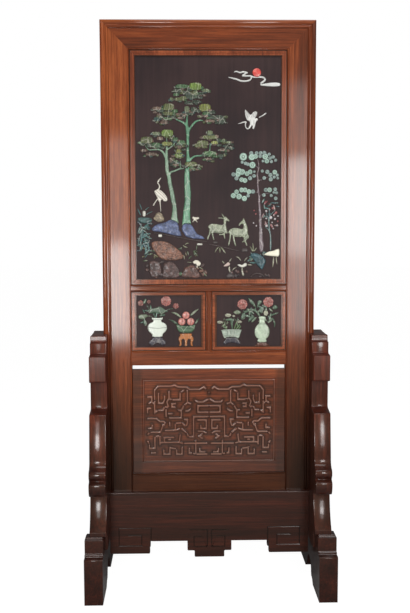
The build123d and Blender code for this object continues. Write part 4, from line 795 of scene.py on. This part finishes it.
def scatter(name, finish, slot, leaf, regions, place=onMain):
    rng = random.Random(name)
    bm = newRelief()
    for left, right, low, high, count, small, large, *tones in regions:
        for i in range(count):
            x, z = rng.uniform(left, right), rng.uniform(low, high)
            size, turn = rng.uniform(small, large), rng.uniform(0, math.pi)
            outline = []
            for k in range(9):
                a = 2 * math.pi * k / 9
                px = size * math.cos(a) * (1.1 if leaf else rng.uniform(0.6, 1.05))
                pz = size * math.sin(a) * (0.34 if leaf else rng.uniform(0.5, 0.85))
                outline.append((x + px * math.cos(turn) - pz * math.sin(turn),
                                z + px * math.sin(turn) + pz * math.cos(turn)))
            outline = [(min(max(px, -pictureHalf), pictureHalf), max(pz, 1)) for px, pz in outline]
            relief(bm, place(soften(outline, 1)), shift(tint(*rng.choice(tones)), 0.2, rng),
                   rise=1.4 if leaf else rng.uniform(1.6, 2.6), rim=0.5, swell=3 if leaf else 6, step=2.2,
                   carve=None if leaf else crags, lift=rng.uniform(0, 0.5))
    put(name, meshOf(bm, name), finishes[finish], "screen", ())


for name, settings in scatters.items():
    scatter(name, **settings)
inlaid("inlay_fungi", "bone", tint(196, 190, 174), soft=1, rise=3.4, swell=5, step=1.8)
inlaid("inlay_white_pieces", "bone", pieceTone, soft=1, rise=3.4, swell=6)
inlaid("inlay_plants", "jade", plantTone, soft=1, rise=2.8, rim=0.6, swell=3.2, step=1.6)
print("landscape carved")


# Still lifes
def turned(middleX, half):
    # the swell of a vase that is round in plan, sunk to a low relief; through the relief's shading it also
    # paints the vase lighter in the middle and darker at the sides
    def swell(x, z, d):
        share = min(abs(x - middleX) / half, 1)
        return 1.1 * math.sqrt(1 - share * share) - 0.6
    return swell


inlaid("inlay_vase_white", "bone", tint(182, 188, 176), soft=1, rise=2.8, swell=5, step=1.8, vary=0,
       carve=turned(-181, 36), cut=0.6, place=onSmall,
       grooves=[[(-201, 47), (-161, 47)], [(-196, 90), (-166, 90)],
                [(-216, 70), (-181, 66), (-146, 70)], [(-195, 98), (-167, 98)]])
inlaid("inlay_bottle_vase", "jade", tint(148, 162, 140), soft=1, rise=2.8, swell=5, step=1.8, vary=0,
       carve=turned(188, 28), cut=0.6, place=onSmall,
       grooves=[[(172, 25), (204, 25)], [(177, 84), (199, 84)], [(176, 80), (200, 80)],
                [(178, 98), (198, 98)]])
inlaid("inlay_planter", "jade", tint(152, 164, 148), soft=1, rise=3.2, swell=4, step=1.8, vary=0, cut=0.6,
       place=onSmall, grooves=[[(40, 56), (112, 56)], [(50, 38), (102, 38)], [(64, 40), (64, 54)],
                               [(76, 40), (76, 54)], [(88, 40), (88, 54)]])
inlaid("inlay_fruit_bowl", "jade", tint(66, 94, 66), soft=1, rise=3.2, swell=6, step=1.8, vary=0, cut=0.6,
       place=onSmall, grooves=[[(-106, 70), (-90, 67), (-66, 66), (-48, 69)],
                               [(-99, 54), (-78, 53), (-56, 54)]])


def standTone(x, z):
    return tint(162, 98, 46) if x < 0 else tint(80, 44, 30)


inlaid("inlay_stands_dark", "stone", tint(50, 46, 54), soft=1, rise=2.8, swell=4, step=1.8)
inlaid("inlay_stands_brown", "stone", standTone, soft=1, rise=3.0, swell=4, step=1.8, vary=0.02)
peachClefts = [[(x - 3, z - 11), (x + 1, z), (x - 1, z + 11)] for x, z in ((-77, 114), (-92, 91), (-60, 91))]
inlaid("inlay_peaches", "stone", tint(176, 110, 100), soft=0, rise=3.8, rim=1.2, swell=11, step=1.8,
       grooves=peachClefts, place=onSmall, cut=0.7)


def leafTone(x, z):
    low = z - smallLow
    if x > 30 and low < 80:
        return tint(92, 116, 78)
    return tint(72, 92, 72) if int(abs(x) / 17) % 3 else tint(104, 116, 92)


inlaid("inlay_leaves", "jade", leafTone, soft=1, rise=2.8, rim=0.6, swell=6, step=1.8, vary=0.2)

blooms = [
    (-150, 164, 19, "rose"), (-115, 146, 11, "rose"), (-240, 157, 11, "blush"), (-211, 162, 7, "blush"),
    (118, 151, 19, "rose"), (211, 159, 19, "rose"),
]
bloomTones = {"rose": tint(154, 92, 84), "blush": tint(152, 100, 92), "cream": tint(196, 196, 172)}


def bloom(bm, x, z, radius, tone, petals, rng, squash=1.0):
    # rings of cupped petals, the inner ones higher
    colour = bloomTones[tone]
    for ring, (share, count) in enumerate(((1.0, petals), (0.68, petals - 1), (0.38, max(3, petals - 3)))):
        turn0 = rng.random() * 6
        for i in range(count):
            turn = turn0 + 2 * math.pi * i / count
            out = radius * share * 0.56
            size = radius * share * (0.5 if ring else 0.46)
            cx, cz = x + out * math.cos(turn), z + out * math.sin(turn) * squash
            outline = []
            for k in range(14):
                a = 2 * math.pi * k / 14
                notch = 1 - 0.14 * math.exp(-((a - math.pi) / 0.5) ** 2)
                px, pz = size * 1.05 * math.cos(a) * notch, size * 0.95 * math.sin(a) * notch
                # petals face outwards
                c, s = math.cos(turn + math.pi), math.sin(turn + math.pi)
                outline.append((cx + px * c - pz * s, cz + (px * s + pz * c) * squash))
            reach = size * 0.7
            tip = [(cx, cz), (cx + reach * math.cos(turn), cz + reach * math.sin(turn) * squash)]
            relief(bm, onSmall(outline), shift(colour, 0.12, rng), rise=1.6 + ring * 0.4, rim=0.5,
                   swell=size * 0.6, step=1.7, grooves=[onSmall(tip)], cut=0.4,
                   lift=ring * 0.9 + 0.12 * (i % 2))


def flowers():
    rng = random.Random(5)
    bm = newRelief()
    for x, z, radius, tone in blooms:
        bloom(bm, x, z, radius, tone, 7 if radius > 15 else 5, rng)
    carved("inlay_peonies", bm, "stone")
    bm = newRelief()
    for x, z, wide, high in ((67, 112, 24, 13), (37, 87, 20, 11), (108, 88, 18, 10), (87, 109, 11, 8),
                             (202, 119, 17, 20)):
        bloom(bm, x, z, wide / 2, "cream", 6, rng, squash=high / wide)
    carved("inlay_flowers_cream", bm, "bone")


flowers()
print("still lifes carved")

# Carved panel: a board with a moulded border, and strapwork with eased edges.
# Strap corners are measured from the middle of the field, right half only.
straps = [
    [(10, 114), (19, 124), (34, 114), (70, 114), (82, 123), (112, 123), (124, 131), (136, 126),
     (184, 126), (196, 112), (196, 74)],
    [(78, 114), (78, 66), (90, 56)],
    [(64, 44), (76, 35), (88, 35)],
    [(114, 38), (100, 38), (100, 10), (146, 10)],
    [(104, 104), (104, 76), (134, 76)],
    [(144, 110), (144, 82), (152, 70), (146, 48)],
    [(182, 104), (182, 64), (166, 64), (160, 78), (160, 94)],
    [(160, 52), (166, 38), (184, 38)],
    [(224, 8), (190, 8), (178, -3), (158, -3)],
    [(224, 88), (206, 88), (206, 70), (220, 62)],
    [(0, 14), (56, 14), (56, -60), (74, -60)],
    [(44, 2), (10, 2), (10, -30), (30, -30), (30, -16)],
    [(0, 80), (20, 68), (42, 68), (52, 76)],
    [(0, 30), (40, 30), (40, 54), (0, 54)],
    [(4, -84), (92, -84)],
    [(48, -70), (48, -124)],
    [(34, -100), (34, -116), (12, -116)],
    [(104, -48), (108, -80), (162, -80), (162, -62), (124, -62)],
    [(84, -22), (98, -8)],
    [(80, -46), (102, -28)],
    [(122, -10), (122, -36), (162, -36)],
    [(166, -16), (176, -42), (214, -42)],
    [(178, -56), (178, -92)],
    [(196, -58), (196, -102), (216, -102), (216, -86)],
    [(72, -98), (72, -120), (60, -120)],
    [(98, -94), (98, -124), (118, -124), (118, -104)],
    [(142, -94), (142, -124), (164, -124), (164, -104)],
    [(190, -118), (214, -118)],
    [(118, 62), (134, 62), (134, 50), (120, 50)],
    [(130, 26), (150, 26)],
    [(206, 46), (222, 46), (222, 26)],
    [(206, -12), (206, -28), (222, -28)],
    [(142, -4), (142, -22)],
    [(136, -70), (150, -70)],
    [(22, -48), (36, -58), (22, -68)],
    [(0, 108), (0, 96)],
]
# short links that join the straps into one web
straps += [
    [(196, 74), (196, 30), (184, 38)], [(155, 12), (155, 44)], [(146, 48), (160, 52)],
    [(108, -80), (92, -84)], [(178, -92), (178, -80), (162, -80)], [(48, -124), (4, -124)],
    [(44, -40), (22, -40), (8, -48)], [(102, -28), (122, -36)], [(80, -46), (74, -60)],
    [(84, -22), (78, -8), (78, 4), (92, 4)], [(98, -8), (122, -10)], [(158, -3), (162, -16), (172, -16)],
    [(60, -120), (48, -124)], [(118, -104), (142, -100)], [(216, -86), (224, -72)], [(90, 56), (100, 38)],
    [(104, 104), (88, 112)], [(134, 76), (146, 82)], [(62, 60), (78, 66)], [(206, 70), (196, 60)],
    [(214, -42), (224, -52)], [(178, -56), (196, -58)],
]
carvedLow, carvedHigh = (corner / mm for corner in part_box("carved_panel"))
board = {"side": 274.5, "tongue": 281.4, "low": carvedLow.z + 7.5, "top": carvedHigh.z,
         "face": panelFace - 4, "fieldX": 238, "lowMargin": 40.5, "topMargin": 38, "strap": 9,
         "bead": 1.7, "sink": 3.5, "lightAndShade": 0.4, "ground": (152, 92)}
fieldLow = board["low"] + board["lowMargin"]
fieldHigh = board["top"] - board["topMargin"]
fieldMiddle = (fieldLow + fieldHigh) / 2


def mitred(corners, width):
    left, right = [], []
    for i, (x, z) in enumerate(corners):
        turns = []
        for a, b in ((i - 1, i), (i, i + 1)):
            if a >= 0 and b < len(corners):
                run = math.dist(corners[a], corners[b])
                turns.append(((corners[a][1] - corners[b][1]) / run,
                              (corners[b][0] - corners[a][0]) / run))
        nx, nz = (turns[0][0] + turns[-1][0]) / 2, (turns[0][1] + turns[-1][1]) / 2
        reach = width / 2 / (nx * nx + nz * nz)
        left.append((x + nx * reach, z + nz * reach))
        right.append((x - nx * reach, z - nz * reach))
    return left + right[::-1]


def rounded(outline, radius):
    points = []
    for before, here, after in zip(outline[-1:] + outline[:-1], outline, outline[1:] + outline[:1]):
        before, here, after = Vector(before), Vector(here), Vector(after)
        start = here + (before - here).normalized() * min(radius, (before - here).length * 0.4)
        end = here + (after - here).normalized() * min(radius, (after - here).length * 0.4)
        points += [tuple(start), tuple((start + here * 2 + end) / 4), tuple(end)]
    return points


# painted highlight: the share of pale on a strap, rising from its rim to its crest
def crestHighlight(depth):
    return np.clip((depth - 1.1) / 1.6, 0, 1)


def carvedPanel():
    side, face = board["side"], board["face"]
    # section rings from the outer edge to the sunk field: half width, low, high, depth
    rings = [
        (side, board["low"], board["top"], panelFace + 11),
        (side, board["low"], board["top"], face + 1.2),
        (side - 1.2, board["low"] + 1.2, board["top"] - 1.2, face),
    ]
    border = ((2, 0), (1, 1.2), (0, 0), (-1.2, -board["bead"]), (-3.8, -board["bead"]), (-5, 0),
              (-6, board["sink"]))
    rings += [(board["fieldX"] + out, fieldLow - out, fieldHigh + out, face + deep) for out, deep in border]
    bm = newRelief()
    made = []
    for half, low, high, y in rings:
        made.append([bm.verts.new((x * mm, y * mm, z * mm))
                     for x, z in ((-half, low), (half, low), (half, high), (-half, high))])
    for outer, inner in zip(made, made[1:]):
        for i in range(4):
            j = (i + 1) % 4
            bm.faces.new((outer[i], outer[j], inner[j], inner[i]))
    bm.faces.new(made[0][::-1])
    # painted highlight: the border bead's crest is paler; the rest of the board stays at a neutral level
    lightAndShade = bm.verts.layers.float_color["tint"]
    for vert in bm.verts:
        lightLevel = 0.78 if abs(vert.co.y / mm - face + board["bead"]) < 0.1 else board["lightAndShade"]
        vert[lightAndShade] = (lightLevel, lightLevel, lightLevel, 1)
    # the sunk ground, with painted shade beside the straps
    half, low, high = rings[-1][:3]
    across, upward = board["ground"]
    spots = [(half * (2 * i / across - 1), low + (high - low) * j / upward)
             for j in range(upward + 1) for i in range(across + 1)]
    strapRuns = [((sign * a[0], fieldMiddle + a[1]), (sign * b[0], fieldMiddle + b[1]))
                 for sign in (-1, 1) for line in straps for a, b in zip(line, line[1:])]
    clear = np.clip(distances(spots, strapRuns) - board["strap"] / 2, 0, None)
    ground = []
    for (x, z), away in zip(spots, clear):
        litShare = 0.37 * (1 - 0.92 * math.exp(-((away / 6) ** 2)))
        vert = bm.verts.new((x * mm, (face + board["sink"]) * mm, z * mm))
        vert[lightAndShade] = (litShare, litShare, litShare, 1)
        ground.append(vert)
    for j in range(upward):
        for i in range(across):
            k = j * (across + 1) + i
            bm.faces.new((ground[k], ground[k + 1], ground[k + across + 2], ground[k + across + 1]))
    # the tongues that run in the frame's grooves
    tongue, low, top = board["tongue"], board["low"], board["top"]
    for x0, x1, z0, z1 in ((-tongue, tongue, carvedLow.z, low - 0.1), (-tongue, -side, low, top),
                           (side, tongue, low, top)):
        made = bmesh.ops.create_cube(bm, size=1)["verts"]
        for vert in made:
            vert[lightAndShade] = (board["lightAndShade"],) * 3 + (1,)
            vert.co = ((x0 + x1) / 2 + vert.co.x * (x1 - x0), panelFace + 6 + vert.co.y * 12,
                       (z0 + z1) / 2 + vert.co.z * (z1 - z0))
            vert.co *= mm
    sharp = meshOf(bm, "carvedBoard")
    for polygon in sharp.polygons:
        polygon.use_smooth = False
    piece = put("carvedBoard", sharp, woods["carved", "x"], "screen", ("carved_panel",))
    easedEdges(piece, 0.5 * mm, 30)
    bm = newRelief()
    # painted highlight on each strap's crest and painted shade on its walls
    for sign in (-1, 1):
        for line in straps:
            corners = [(sign * x, fieldMiddle + z) for x, z in line]
            relief(bm, rounded(mitred(corners, board["strap"]), 3), (1, 1, 1, 1), rise=4.7, rim=2.2,
                   swell=4.4, step=1.6, back=face + board["sink"], shade=crestHighlight, wallShade=0)
    put("carvedStraps", meshOf(bm, "carvedStraps"), woods["carved", "x"], "screen", ())


carvedPanel()
print("panel carved")

# Floor, light and camera. To the camera the floor and the studio are white.
paper = {"grey": (0.4, 0.4, 0.4, 1), "glow": 1.39, "share": 0.7}
floorPaint = Paint("palePaper", Roughness=0.9, Base_Color=paper["grey"])
toCamera = floorPaint.node("LightPath", {}, output="Is Camera Ray")
white = floorPaint.node("Emission", {"Color": (1, 1, 1, 1), "Strength": paper["glow"]})
lit = Value(floorPaint, floorPaint.shader.outputs[0])
mixed = floorPaint.node("MixShader", {0: toCamera * paper["share"], 1: lit, 2: white})
floorPaint.feed(floorPaint.tree.nodes["Material Output"].inputs["Surface"], mixed)
bpy.ops.mesh.primitive_plane_add(size=40)
floor = bpy.context.object
floor.name = "floor"
floor.data.materials.append(floorPaint.material)

world = bpy.data.worlds.new("studio")
bpy.context.scene.world = world
world.use_nodes = True
tree = world.node_tree
ambient = tree.nodes["Background"]
ambient.inputs["Color"].default_value = (1, 1, 1, 1)
ambient.inputs["Strength"].default_value = 0.16
shown = tree.nodes.new("ShaderNodeBackground")
shown.inputs["Color"].default_value = (1, 1, 1, 1)
path = tree.nodes.new("ShaderNodeLightPath")
either = tree.nodes.new("ShaderNodeMath")
either.operation = "MAXIMUM"
mixed = tree.nodes.new("ShaderNodeMixShader")
tree.links.new(path.outputs["Is Camera Ray"], either.inputs[0])
tree.links.new(path.outputs["Is Transmission Ray"], either.inputs[1])
tree.links.new(either.outputs[0], mixed.inputs[0])
tree.links.new(ambient.outputs[0], mixed.inputs[1])
tree.links.new(shown.outputs[0], mixed.inputs[2])
tree.links.new(mixed.outputs[0], tree.nodes["World Output"].inputs[0])

# soft boxes on each side of the camera, the left one brightest low down
lamps = {
    "leftLow": {"at": (-0.64, -2.6, 0.84), "aim": (-0.5, 0, 0.84), "size": (0.46, 0.62), "watts": 27},
    "leftHigh": {"at": (-0.64, -2.6, 1.48), "aim": (-0.5, 0, 1.48), "size": (0.46, 0.66), "watts": 6},
    "rightLow": {"at": (0.78, -2.6, 0.82), "aim": (0.64, 0, 0.82), "size": (0.46, 0.5), "watts": 9},
    "rightHigh": {"at": (0.78, -2.6, 1.38), "aim": (0.64, 0, 1.38), "size": (0.46, 0.62), "watts": 23},
    "rightTop": {"at": (0.78, -2.6, 1.95), "aim": (0.64, 0, 1.95), "size": (0.46, 0.4), "watts": 3},
    "top": {"at": (0.2, -1.4, 3.3), "aim": (0, 0, 1.0), "size": (2.0, 1.0), "watts": 34},
}
for name, lamp in lamps.items():
    light = bpy.data.lights.new(name, "AREA")
    light.shape = "RECTANGLE"
    light.size, light.size_y = lamp["size"]
    light.energy = lamp["watts"]
    holder = bpy.data.objects.new(name, light)
    bpy.context.scene.collection.objects.link(holder)
    holder.location = lamp["at"]
    facing = Vector(lamp["aim"]) - Vector(lamp["at"])
    holder.rotation_euler = facing.to_track_quat("-Z", "Y").to_euler()

view = {"at": (-0.098, -3.301, 1.3265), "pitch": 84.35, "roll": 0.15, "yaw": -1.49, "lens": 54.26}
lens = bpy.data.cameras.new("photoView")
lens.lens = view["lens"]
lens.sensor_width = 36
camera = bpy.data.objects.new("photoView", lens)
bpy.context.scene.collection.objects.link(camera)
camera.location = view["at"]
camera.rotation_euler = [math.radians(view[turn]) for turn in ("pitch", "roll", "yaw")]
bpy.context.scene.camera = camera
bpy.context.scene.view_settings.view_transform = "Standard"

print("scene complete")
